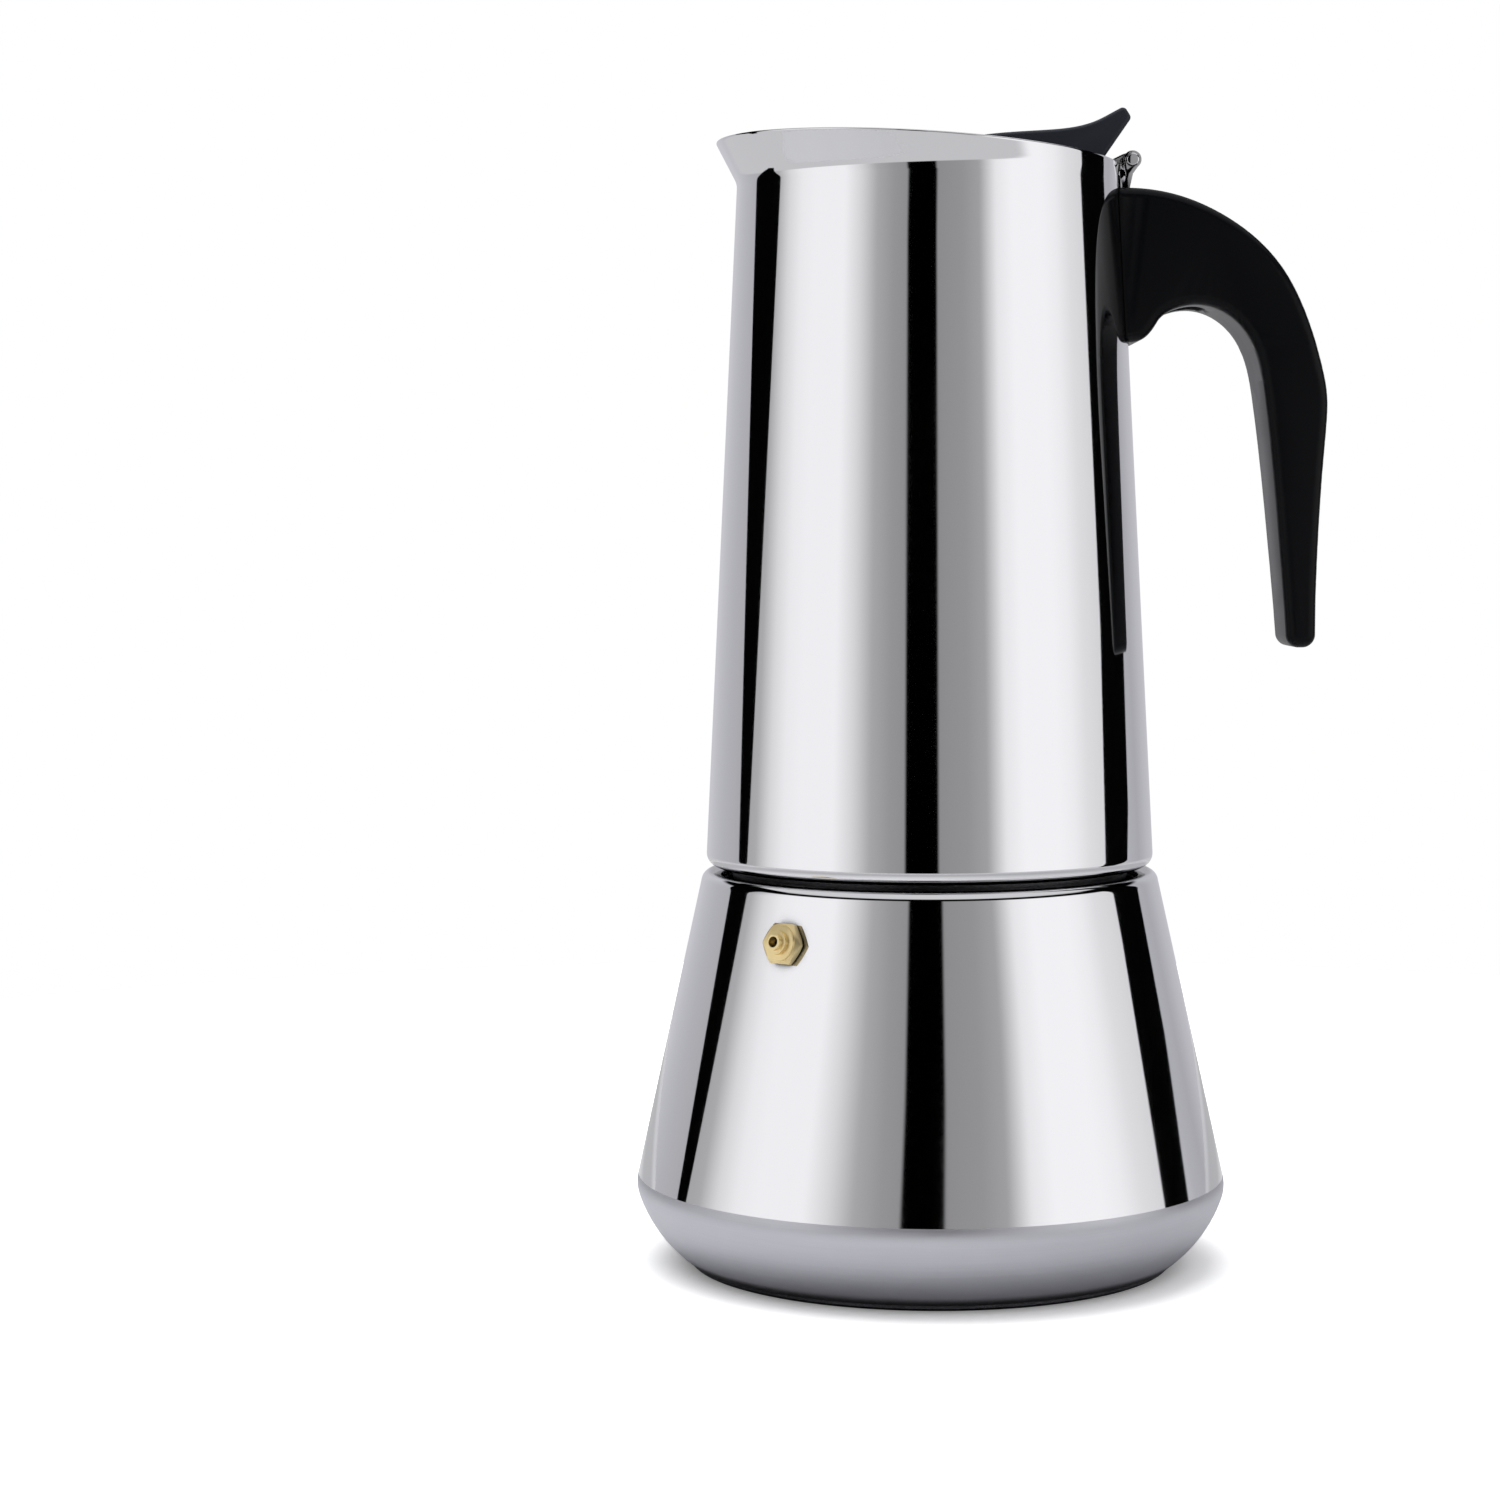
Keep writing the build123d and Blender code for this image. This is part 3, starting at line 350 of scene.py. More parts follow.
def skin(rings):
    """A mesh between rings of points, from the last to the first too. A ring of one point is a pole."""
    bm = bmesh.new()
    rings = [[bm.verts.new(point) for point in ring] for ring in rings]
    sides = max(len(ring) for ring in rings)
    for low, high in zip(rings, rings[1:] + rings[:1]):
        if len(low) == len(high) == 1:
            continue
        for side in range(sides):
            following = (side + 1) % sides
            corners = [low[side % len(low)], low[following % len(low)]]
            corners += [high[following % len(high)], high[side % len(high)]]
            bm.faces.new(dict.fromkeys(corners))
    return bm


def turned(outline, sides=ROUND):
    """A mesh turned about the axis from a closed outline of radii and heights."""
    rings = []
    for radius, height in outline:
        if radius < 1e-7:
            rings.append([(0, 0, height)])
        else:
            turns = [2 * math.pi * side / sides for side in range(sides)]
            rings.append([(radius * math.cos(t), radius * math.sin(t), height) for t in turns])
    return skin(rings)


def as_mesh(name, bm):
    """Turns mesh code's result into a mesh with outward faces, smooth but for edges sharper than the crease."""
    same_point, crease = 1e-7, math.radians(35)
    bmesh.ops.remove_doubles(bm, verts=bm.verts, dist=same_point)
    bmesh.ops.recalc_face_normals(bm, faces=bm.faces)
    mesh = bpy.data.meshes.new(name)
    bm.to_mesh(mesh)
    bm.free()
    mesh.shade_smooth()
    mesh.set_sharp_from_angle(angle=crease)
    return mesh


def new_object(name, data):
    """An object for a mesh, lamp or camera, linked to the scene."""
    thing = bpy.data.objects.new(name, data)
    bpy.context.scene.collection.objects.link(thing)
    return thing


def place(name, mesh, node):
    """Makes a piece that stands for a CAD node, with the node's body, material slot and finish."""
    piece = new_object(name, mesh)
    mesh.materials.clear()
    mesh.materials.append(finish_of(node))
    body = next(b for b, members in frame["record"]["behaviour"]["bodies"].items() if node in members)
    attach(piece, body)
    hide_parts(node)
    return piece


def place_turned(name, outline, node, sides=ROUND):
    """Makes a turned piece that stands for a CAD node."""
    return place(name, as_mesh(name, turned(outline, sides)), node)


def baked(carrier):
    """The plain mesh that an object has after its modifiers, which are then removed with the object."""
    bpy.context.view_layer.update()
    graph = bpy.context.evaluated_depsgraph_get()
    mesh = bpy.data.meshes.new_from_object(carrier.evaluated_get(graph))
    carrier.modifiers.clear()
    bpy.data.objects.remove(carrier)
    return mesh


def eased_copy(node, edge=0.0, tool=None):
    """A piece from a merged copy of a CAD node, with its sharp edges rounded by edge.

    A tool is a mesh, and only what lies inside it is kept.
    """
    merge, flat, sharp, crease = 1e-6, math.radians(0.4), math.radians(38), math.radians(50)
    bm = bmesh.new()
    bm.from_mesh(frame["nodes"][node].data)
    bmesh.ops.remove_doubles(bm, verts=bm.verts, dist=merge)
    bmesh.ops.dissolve_limit(bm, angle_limit=flat, verts=bm.verts, edges=bm.edges)
    mesh = as_mesh(node + "_copy", bm)
    if edge:
        carrier = new_object(node + "_carrier", mesh)
        if tool:
            keeper = new_object(node + "_tool", tool)
            cut = carrier.modifiers.new("Cut", "BOOLEAN")
            cut.operation, cut.solver, cut.object = "INTERSECT", "EXACT", keeper
        bevel = carrier.modifiers.new("Edges", "BEVEL")
        bevel.width, bevel.segments = edge, 3
        bevel.limit_method, bevel.angle_limit = "ANGLE", sharp
        mesh = baked(carrier)
        mesh.set_sharp_from_angle(angle=crease)
        if tool:
            bpy.data.objects.remove(keeper)
    return place(node + "_finished", mesh, node)


def grown(name, tree, **sizes):
    """The mesh that a Geometry Nodes tree makes from nothing but its named inputs."""
    carrier = new_object(name, bpy.data.meshes.new(name))
    modifier = carrier.modifiers.new(name, "NODES")
    modifier.node_group = tree
    sockets = {item.name: item.identifier for item in tree.interface.items_tree if item.in_out == "INPUT"}
    for label, value in sizes.items():
        modifier[sockets[label.replace("_", " ").capitalize()]] = value
    return baked(carrier)


SLOTS = {part["node"]: part["material_slot"] for part in frame["record"]["subparts"]}


# ---- Materials


def new_material(name):
    """An empty material and its tree."""
    material = bpy.data.materials.new(name)
    material.use_nodes = True
    material.node_tree.nodes.clear()
    return material, material.node_tree


def ringed_space(tree, line_mm, stroke_mm, radius_mm):
    """Coordinates for lines that run around the axis, as wide as line and about as long as stroke."""
    place_of = add_node(tree, "ShaderNodeTexCoord").outputs["Object"]
    x, y, z = add_node(tree, "ShaderNodeSeparateXYZ", [place_of]).outputs
    lines = 1 / (line_mm * MM)
    flat = add_node(tree, "ShaderNodeCombineXYZ", [x, y])
    out = add_node(tree, "ShaderNodeVectorMath", [flat], operation="LENGTH").outputs["Value"]
    along = ("MULTIPLY", ("ARCTAN2", y, x), radius_mm / stroke_mm)
    return add_node(tree, "ShaderNodeCombineXYZ", [along, ("MULTIPLY", out, lines), ("MULTIPLY", z, lines)])


def pattern(tree, space, detail=3.0, roughness=0.5):
    """Noise in a space that has its scale already, or in Object coordinates at repeats per metre for each axis."""
    if isinstance(space, tuple):
        place_of = add_node(tree, "ShaderNodeTexCoord").outputs["Object"]
        space = add_node(tree, "ShaderNodeMapping", {"Vector": place_of, "Scale": space})
    return add_node(
        tree, "ShaderNodeTexNoise", {"Vector": space, "Scale": 1.0, "Detail": detail, "Roughness": roughness}
    )


def varied(tree, value, low, high, start=0.3, end=0.7):
    """A value that goes from low to high while a pattern goes from start to end."""
    return add_node(tree, "ShaderNodeMapRange", [value, start, end, low, high])


def painted_gap_shade(tree, colour):
    """A metal's colour with painted shade: an ambient-occlusion mask darkens it deep in narrow gaps, where shade
    falls between the parts.
    """
    openness = add_node(tree, "ShaderNodeAmbientOcclusion", {"Distance": 3.5 * MM}, samples=6).outputs["AO"]
    # Painted shade: the colour falls nearly to black where the gap closes in.
    kept = varied(tree, openness, 0.01, 1.0, start=0.45, end=0.8)
    return add_node(tree, "ShaderNodeHueSaturation", {"Value": kept, "Color": colour})


def mirror_steel(tree, colour):
    """Stainless steel, drawn and then mirror-polished on a wheel.

    It gives clear reflections with crisp edges, a trace of haze that varies from place to place,
    and hardly visible polishing marks around the piece.
    """
    haze = pattern(tree, (60, 60, 25), detail=2.0)
    marks = pattern(tree, ringed_space(tree, 1.0, 2.0, 45.0), detail=4.0)
    return {
        # The base colour carries painted shade in narrow gaps.
        "Base Color": painted_gap_shade(tree, colour), "Metallic": 1.0,
        "Roughness": ("ADD", varied(tree, haze, 0.028, 0.05), varied(tree, marks, 0.0, 0.012)),
        "Normal": add_node(tree, "ShaderNodeBump", {"Height": haze, "Distance": 0.01 * MM, "Strength": 0.02}),
    }


def satin_steel(tree, colour):
    """Stainless steel brushed round the axis with a fine belt.

    It gives soft, stretched reflections with fine lines around the piece. The grit's lines, of about
    0.1 mm, are drawn 0.3 mm wide so that they show.
    """
    lines = pattern(tree, ringed_space(tree, 0.3, 16.0, 50.0), detail=4.0, roughness=0.6)
    cloud = pattern(tree, (70, 70, 70), detail=2.0)
    shade = add_node(
        tree, "ShaderNodeHueSaturation", {"Value": varied(tree, lines, 0.97, 1.02), "Color": colour}
    )
    return {
        # The base colour carries painted shade in narrow gaps.
        "Base Color": painted_gap_shade(tree, shade), "Metallic": 1.0, "Anisotropic": 0.4,
        "Roughness": ("ADD", varied(tree, lines, 0.38, 0.44), varied(tree, cloud, -0.02, 0.03)),
        "Tangent": add_node(tree, "ShaderNodeTangent", direction_type="RADIAL", axis="Z"),
        "Normal": add_node(tree, "ShaderNodeBump", {"Height": lines, "Distance": 0.02 * MM, "Strength": 0.03}),
    }


def turned_brass(tree, colour):
    """Free-cutting brass, turned from hexagon bar and left bright.

    It gives warm pale reflections, softened by fine tool marks and a light brown bloom of tarnish.
    """
    marks = pattern(tree, (900, 900, 2600))
    bloom = varied(tree, pattern(tree, (260, 260, 260)), 0.0, 0.25)
    shade = add_node(
        tree, "ShaderNodeMix", {"Factor": bloom, 6: colour, 7: to_linear("#B8924E")}, data_type="RGBA"
    )
    return {
        "Base Color": shade.outputs[2], "Metallic": 1.0, "Roughness": varied(tree, marks, 0.34, 0.42),
        "Normal": add_node(tree, "ShaderNodeBump", {"Height": marks, "Distance": 0.01 * MM, "Strength": 0.1}),
    }


def moulded_plastic(tree, colour, rough, gloss, grain_mm, grain_strength):
    """Glass-filled nylon or phenolic, moulded in a spark-eroded tool.

    It gives a dark body with broad soft highlights, a fine even grain, and a painted highlight that makes the
    sharp edges lighter than the faces.
    """
    grain = pattern(tree, (1 / (grain_mm * MM),) * 3, detail=2.0)
    flow = pattern(tree, (40, 40, 90))
    # Painted highlight: pointiness lightens the colour along the sharp edges.
    edges = add_node(tree, "ShaderNodeNewGeometry").outputs["Pointiness"]
    painted_edge_highlight = varied(tree, edges, 0.0, 0.5, start=0.52, end=0.62)
    edge_highlight_colour = [min(1.0, channel * 2.2 + 0.006) for channel in colour[:3]] + [1.0]
    shade = add_node(tree, "ShaderNodeMix", {"Factor": painted_edge_highlight, 6: colour, 7: edge_highlight_colour}, data_type="RGBA")
    return {
        "Base Color": shade.outputs[2], "Roughness": varied(tree, flow, rough - 0.015, rough + 0.015),
        "IOR": 1.5, "Specular IOR Level": gloss,
        "Normal": add_node(
            tree, "ShaderNodeBump", {"Height": grain, "Distance": 0.03 * MM, "Strength": grain_strength}
        ),
    }


def silicone(tree, colour):
    """Food-grade silicone rubber, moulded.

    It gives a milky surface with a dull sheen, a little light inside and faint mottling.
    """
    mottle = pattern(tree, (220, 220, 220))
    shade = add_node(
        tree, "ShaderNodeHueSaturation", {"Value": varied(tree, mottle, 0.93, 1.03), "Color": colour}
    )
    return {
        "Base Color": shade, "Roughness": varied(tree, mottle, 0.5, 0.62), "IOR": 1.41,
        "Subsurface Weight": 0.2, "Subsurface Scale": 0.002,
        "Normal": add_node(tree, "ShaderNodeBump", {"Height": mottle, "Distance": 0.03 * MM, "Strength": 0.15}),
    }


# For each material slot: the finish's name, its colour, what makes it and the settings of that.
FINISHES = {
    "polished_steel": ("mirror_polished_stainless_steel", "mirror", mirror_steel, ()),
    "brushed_steel": ("satin_brushed_stainless_steel", "satin", satin_steel, ()),
    "valve_brass": ("turned_free_cutting_brass", "brass", turned_brass, ()),
    "handle_plastic": ("moulded_black_phenolic", "grip", moulded_plastic, (0.3, 0.14, 0.45, 0.12)),
    "lever_plastic": ("moulded_charcoal_nylon", "lever", moulded_plastic, (0.42, 0.3, 0.5, 0.18)),
    "seal_rubber": ("moulded_silicone_rubber", "rubber", silicone, ()),
}


def finish_of(node):
    """The material for a CAD node's slot, made when it is first asked for."""
    name, colour, maker, settings = FINISHES[SLOTS[node]]
    if name in bpy.data.materials:
        return bpy.data.materials[name]
    material, tree = new_material(name)
    inputs = maker(tree, getattr(bpy.context.scene.maker_colours, colour)[:], *settings)
    add_node(tree, "ShaderNodeOutputMaterial", [add_node(tree, "ShaderNodeBsdfPrincipled", inputs)])
    return material


def studio_floor(colour, glow):
    """Matt white paint on a studio floor, which is graded from the pot outwards in gray: painted light that makes
    it brighter near the pot, like a pool of light, and lifts it again far out, for every ray but the camera's, so
    it sets what the steel reflects.

    Where the camera looks at it directly, it is lifted to white by a glow that an ambient-occlusion mask dims
    close to the foot, which paints a contact shadow there.
    """
    material, tree = new_material("matt_studio_floor")
    mottle = varied(tree, pattern(tree, (8, 8, 8), detail=2.0), 0.99, 1.01)
    place_of = add_node(tree, "ShaderNodeTexCoord").outputs["Object"]
    out = add_node(tree, "ShaderNodeVectorMath", [place_of], operation="LENGTH").outputs["Value"]
    # Painted light: the floor's colour is brighter near the pot and lifted again far out, for what the steel
    # reflects.
    painted_light_falloff = varied(tree, out, 1.0, 0.57, start=0.09, end=0.2)
    edge = varied(tree, out, 1.0, 1.34, start=0.33, end=0.4)
    value = ("MULTIPLY", ("MULTIPLY", painted_light_falloff, edge), mottle)
    shade = add_node(tree, "ShaderNodeHueSaturation", {"Value": value, "Color": colour})
    plain = add_node(tree, "ShaderNodeBsdfDiffuse", [shade])
    bright = add_node(tree, "ShaderNodeBsdfDiffuse", [(0.92, 0.92, 0.92, 1)])
    # Painted shadow: the glow weakens where the occlusion mask closes in near the foot.
    openness = add_node(tree, "ShaderNodeAmbientOcclusion", {"Distance": 0.07}, samples=12).outputs["AO"]
    strength = varied(tree, openness, 0.1, glow, start=0.0, end=0.7)
    light = add_node(tree, "ShaderNodeEmission", {"Strength": strength})
    lifted = add_node(tree, "ShaderNodeAddShader", [bright, light])
    seen = add_node(tree, "ShaderNodeLightPath").outputs["Is Camera Ray"]
    add_node(tree, "ShaderNodeOutputMaterial", [add_node(tree, "ShaderNodeMixShader", [seen, plain, lifted])])
    return material


def flag_cloth():
    """Black velvet on the studio's flags, which takes nearly all light."""
    material, tree = new_material("black_velvet_flag")
    pile = varied(tree, pattern(tree, (300, 300, 300), detail=2.0), 0.8, 1.0)
    velvet = add_node(tree, "ShaderNodeBsdfDiffuse", [(0.001, 0.001, 0.001, 1), pile])
    add_node(tree, "ShaderNodeOutputMaterial", [velvet])
    return material


# ---- Geometry Nodes


def new_tree(name, numbers, whole=()):
    """A Geometry Nodes tree with named inputs, and the sockets that they come from."""
    tree = bpy.data.node_groups.new(name, "GeometryNodeTree")
    for label in numbers:
        kind = "NodeSocketInt" if label in whole else "NodeSocketFloat"
        tree.interface.new_socket(name=label, in_out="INPUT", socket_type=kind)
    tree.interface.new_socket(name="Geometry", in_out="OUTPUT", socket_type="NodeSocketGeometry")
    return tree, add_node(tree, "NodeGroupInput").outputs


def finish_tree(tree, geometry, material):
    """Ends a tree: instances become real, and the result gets its material."""
    real = add_node(tree, "GeometryNodeRealizeInstances", [geometry])
    painted = add_node(tree, "GeometryNodeSetMaterial", {"Geometry": real, "Material": material})
    add_node(tree, "NodeGroupOutput", [painted])
    return tree


def joined(tree, first, second):
    """Two geometries in one."""
    both = add_node(tree, "GeometryNodeJoinGeometry", [first])
    tree.links.new(second.outputs[0], both.inputs[0])
    return both


def perforated_plate_tree(material):
    """A round plate with rings of holes about its middle, six more holes in each ring.

    With n rings there are 3 n (n + 1) holes, so a hole's ring follows from its number by a square root.
    """
    tree, given = new_tree(
        "perforated_plate", ("Plate radius", "Thickness", "Hole radius", "Spacing", "Rings", "Height"),
        whole=("Rings",),
    )
    rings, hole_sides, nearly_none = given["Rings"], 18, 0.0001
    index = add_node(tree, "GeometryNodeInputIndex").outputs[0]
    root = ("SQRT", ("ADD", ("MULTIPLY", ("ADD", index, 1.0), 12.0), 9.0))
    whole = ("SUBTRACT", ("DIVIDE", ("SUBTRACT", root, 3.0), 6.0), nearly_none)
    ring = add_node(tree, "ShaderNodeMath", [whole], operation="CEIL").outputs[0]
    inside = ("MULTIPLY", ("MULTIPLY", ring, 3.0), ("SUBTRACT", ring, 1.0))
    turn = ("DIVIDE", ("MULTIPLY", ("SUBTRACT", index, inside), 2 * math.pi), ("MULTIPLY", ring, 6.0))
    out = ("MULTIPLY", ring, given["Spacing"])
    centre = add_node(
        tree, "ShaderNodeCombineXYZ", [("MULTIPLY", out, ("COSINE", turn)), ("MULTIPLY", out, ("SINE", turn))]
    )
    count = ("MULTIPLY", ("MULTIPLY", rings, 3.0), ("ADD", rings, 1.0))
    points = add_node(tree, "GeometryNodePoints", {"Count": count, "Position": centre})
    hole = add_node(
        tree, "GeometryNodeCurvePrimitiveCircle", {"Resolution": hole_sides, "Radius": given["Hole radius"]}
    )
    holes = add_node(tree, "GeometryNodeInstanceOnPoints", {"Points": points, "Instance": hole})
    real_holes = add_node(tree, "GeometryNodeRealizeInstances", [holes])
    rim = add_node(
        tree, "GeometryNodeCurvePrimitiveCircle", {"Resolution": ROUND, "Radius": given["Plate radius"]}
    )
    flat = add_node(tree, "GeometryNodeFillCurve", {"Curve": joined(tree, real_holes, rim)})
    shift = add_node(tree, "ShaderNodeCombineXYZ", {2: given["Height"]})
    lifted = add_node(tree, "GeometryNodeSetPosition", {"Geometry": flat, "Offset": shift})
    thick = add_node(
        tree, "GeometryNodeExtrudeMesh",
        {"Mesh": lifted, "Offset": (0, 0, 1), "Offset Scale": given["Thickness"], "Individual": False},
    )
    closed = joined(tree, thick, add_node(tree, "GeometryNodeFlipFaces", [lifted]))
    merged = add_node(tree, "GeometryNodeMergeByDistance", {"Geometry": closed, "Distance": 1e-6})
    return finish_tree(tree, merged, material)


def thread_ridge_tree(material):
    """A ridge of trapezoid section that winds up around the axis. A negative depth points it inwards.

    It is a long grid of five rows: four run along the corners of the section, and the fifth closes it.
    Both ends taper to nothing over a twentieth of the length.
    """
    tree, given = new_tree(
        "thread_ridge", ("Radius", "Pitch", "Turns", "Depth", "Root width", "Crest width", "Start height")
    )
    sections, rows, tapers, sunk = 300, 5, 20.0, 0.3 * MM
    root, crest = given["Root width"], given["Crest width"]

    def solved(operation, *terms):
        """A sum that more than one other uses."""
        return add_node(tree, "ShaderNodeMath", terms, operation=operation).outputs[0]

    grid = add_node(tree, "GeometryNodeMeshGrid", {"Vertices X": sections, "Vertices Y": rows})
    index = add_node(tree, "GeometryNodeInputIndex").outputs[0]
    row = solved("MODULO", index, rows)
    share = solved("DIVIDE", ("FLOOR", ("DIVIDE", index, rows)), sections - 1)
    on_crest = solved("LESS_THAN", ("ABSOLUTE", ("SUBTRACT", row, 1.5)), 1.0)
    side = ("SUBTRACT", ("LESS_THAN", ("ABSOLUTE", ("SUBTRACT", row, 2.5)), 1.0), 0.5)
    from_end = ("MINIMUM", share, ("SUBTRACT", 1.0, share))
    taper = solved("MINIMUM", ("MULTIPLY", from_end, tapers), 1.0)
    width = ("ADD", root, ("MULTIPLY", on_crest, ("SUBTRACT", crest, root)))
    hidden = solved("MULTIPLY", ("SIGN", given["Depth"]), sunk)
    proud = ("MULTIPLY", on_crest, ("ADD", given["Depth"], hidden))
    out = solved("ADD", given["Radius"], ("MULTIPLY", ("SUBTRACT", proud, hidden), taper))
    turns = solved("MULTIPLY", share, given["Turns"])
    turn = solved("MULTIPLY", turns, 2 * math.pi)
    offset = ("MULTIPLY", ("MULTIPLY", width, side), taper)
    up = ("ADD", ("ADD", given["Start height"], ("MULTIPLY", turns, given["Pitch"])), offset)
    corner = add_node(
        tree, "ShaderNodeCombineXYZ", [("MULTIPLY", out, ("COSINE", turn)), ("MULTIPLY", out, ("SINE", turn)), up]
    )
    wound = add_node(tree, "GeometryNodeSetPosition", {"Geometry": grid, "Position": corner})
    merged = add_node(tree, "GeometryNodeMergeByDistance", {"Geometry": wound, "Distance": 1e-6})
    return finish_tree(tree, merged, material)


def coil_tree(material):
    """Round wire wound into a compression spring along Z, with its ends cut square and closed."""
    tree, given = new_tree("wound_wire", ("Radius", "Rise", "Turns", "Wire radius"))
    steps_a_turn, wire_sides = 36, 12
    path = add_node(
        tree, "GeometryNodeCurveSpiral",
        {"Resolution": steps_a_turn, "Rotations": given["Turns"], "Start Radius": given["Radius"],
         "End Radius": given["Radius"], "Height": given["Rise"]},
    )
    section = add_node(
        tree, "GeometryNodeCurvePrimitiveCircle", {"Resolution": wire_sides, "Radius": given["Wire radius"]}
    )
    wire = add_node(
        tree, "GeometryNodeCurveToMesh", {"Curve": path, "Profile Curve": section, "Fill Caps": True}
    )
    return finish_tree(tree, add_node(tree, "GeometryNodeSetShadeSmooth", [wire]), material)


# ---- Operators


class MAKER_OT_stage(bpy.types.Operator):
    """Make the floor, the studio light and the camera."""

    bl_idname = "maker.stage"
    bl_label = "Stage"

    def execute(self, context):
        studio = context.scene.maker_studio
        self.floor(context)
        self.flags(context, studio)
        self.lamp(context, studio)
        self.light(context, studio)
        self.camera(context, studio)
        context.scene.view_settings.view_transform = "Standard"
        return {"FINISHED"}

    def floor(self, context):
        sides, size, drop = 96, 6 * CAD_BOX[1].x, 0.02 * MM
        bm = bmesh.new()
        bmesh.ops.create_circle(bm, cap_ends=True, segments=sides, radius=size)
        bmesh.ops.translate(bm, verts=bm.verts, vec=(0, 0, CAD_BOX[0].z - drop))
        floor = new_object("studio_floor", as_mesh("studio_floor", bm))
        colours = context.scene.maker_colours
        floor.data.materials.append(studio_floor(colours.floor[:], context.scene.maker_studio.floor_glow))

    def flags(self, context, studio):
        """Two tall black flags beside the pot, which draw the dark lines near its outline."""
        velvet = flag_cloth()
        # Each row is a height in millimetres and the directions of the flag's edges there, in degrees to
        # the right of the camera.
        outlines = {
            "left_flag": ((24, -104, -109.2), (155, -100.4, -114.8), (600, -88.4, -135)),
            "right_flag": (
                (-40, 93, 104), (40, 97, 115.5), (72, 98.5, 121.3), (150, 101.5, 125), (600, 97, 128)
            ),
        }
        for name, rows in outlines.items():
            bm = bmesh.new()
            rings = []
            for height, *edges in rows:
                turns = [math.radians(degrees) + studio.azimuth for degrees in edges]
                spots = [Vector((math.sin(t), -math.cos(t), 0)) * studio.flag_distance for t in turns]
                rings.append([bm.verts.new(spot + Vector((0, 0, height * MM))) for spot in spots])
            for low, high in zip(rings, rings[1:]):
                bm.faces.new((*low, *reversed(high)))
            mesh = bpy.data.meshes.new(name)
            bm.to_mesh(mesh)
            bm.free()
            mesh.materials.append(velvet)
            flag = new_object(name, mesh)
            flag.visible_camera = flag.visible_shadow = flag.visible_diffuse = False

    def lamp(self, context, studio):
        """A wide soft lamp, up and to the left, that lights the floor but doesn't show in the steel."""
        data = bpy.data.lights.new("soft_lamp", "AREA")
        data.energy = studio.lamp_power
        data.size = studio.lamp_size
        lamp = new_object("soft_lamp", data)
        spot = Vector((-0.12, 0.05, 1.0)) * studio.lamp_height
        lamp.matrix_world = Matrix.Translation(spot) @ spot.to_track_quat("Z", "Y").to_matrix().to_4x4()
        lamp.visible_glossy = lamp.visible_camera = False

    def light(self, context, studio):
        """Tall soft panels in a ring around the pot, a dark gap over them and a soft panel above."""
        world = bpy.data.worlds.new("soft_panel_studio")
        context.scene.world = world
        world.use_nodes = True
        tree = world.node_tree
        tree.nodes.clear()
        facing = add_node(tree, "ShaderNodeTexCoord").outputs["Generated"]
        x, y, z = add_node(tree, "ShaderNodeSeparateXYZ", [facing]).outputs
        room = self.panels(tree, x, y, z, studio.azimuth)
        # The sines of the heights where each part of the room starts and is whole, and its brightness.
        for start, end, level in ((0.38, 0.45, 0.0), (0.6, 0.72, 0.7), (-0.11, -0.16, 0.62)):
            height = add_node(
                tree, "ShaderNodeMapRange", [z, start, end, 0.0, 1.0], interpolation_type="SMOOTHSTEP"
            )
            gray = (level, level, level * 1.02, 1)
            room = add_node(
                tree, "ShaderNodeMix", {"Factor": height, 6: room, 7: gray}, data_type="RGBA"
            ).outputs[2]
        seen = add_node(tree, "ShaderNodeLightPath").outputs["Is Camera Ray"]
        white = (1, 1, 1, 1)
        shown = add_node(tree, "ShaderNodeMix", {"Factor": seen, 6: room, 7: white}, data_type="RGBA").outputs[2]
        add_node(tree, "ShaderNodeOutputWorld", [add_node(tree, "ShaderNodeBackground", [shown])])

    def panels(self, tree, x, y, z, azimuth):
        """The colour of the ring of panels in a direction, which is a little cooler behind the pot."""
        # Directions in degrees from the camera, to the right, and the brightness of the panel there.
        levels = (
            (-180, 0.63), (-158, 0.64), (-131, 0.53), (-106, 0.44), (-100, 0.47), (-90, 0.79), (-80, 0.97),
            (-70, 1.02), (-50, 1.02), (-40, 0.78), (-30, 0.45), (-20, 0.35), (-11.8, 0.32), (-11.4, 0.0),
            (5.2, 0.0), (5.6, 0.31), (10, 0.32), (20, 0.34), (30, 0.41), (40, 0.93), (50, 1.05), (70, 1.05),
            (80, 0.99), (90, 0.85), (105, 0.76), (124, 0.52), (136, 0.47), (150, 0.56), (180, 0.63),
        )
        # The panels lean a little: high up they stand two degrees further to the right.
        lean = varied(tree, z, 0.0, math.radians(1.9), start=0.19, end=0.26)
        turn = ("SUBTRACT", ("ARCTAN2", x, ("MULTIPLY", y, -1.0)), lean)
        share = add_node(
            tree, "ShaderNodeMapRange", [turn, azimuth - math.pi, azimuth + math.pi, 0.0, 1.0], clamp=False
        )
        ring = add_node(tree, "ShaderNodeValToRGB", [("FLOORED_MODULO", share, 1.0)])
        stops = ring.color_ramp.elements
        stops[0].position, stops[1].position = 0.0, 1.0
        for _ in levels[2:]:
            stops.new(0.5)
        for stop, (degrees, level) in zip(stops, levels):
            stop.position = (degrees + 180) / 360
        for stop, (degrees, level) in zip(stops, levels):
            warmth = 0.94 if abs(degrees) > 120 else 0.99
            stop.color = (level * warmth, level * warmth * 0.995, level, 1)
        return ring.outputs[0]

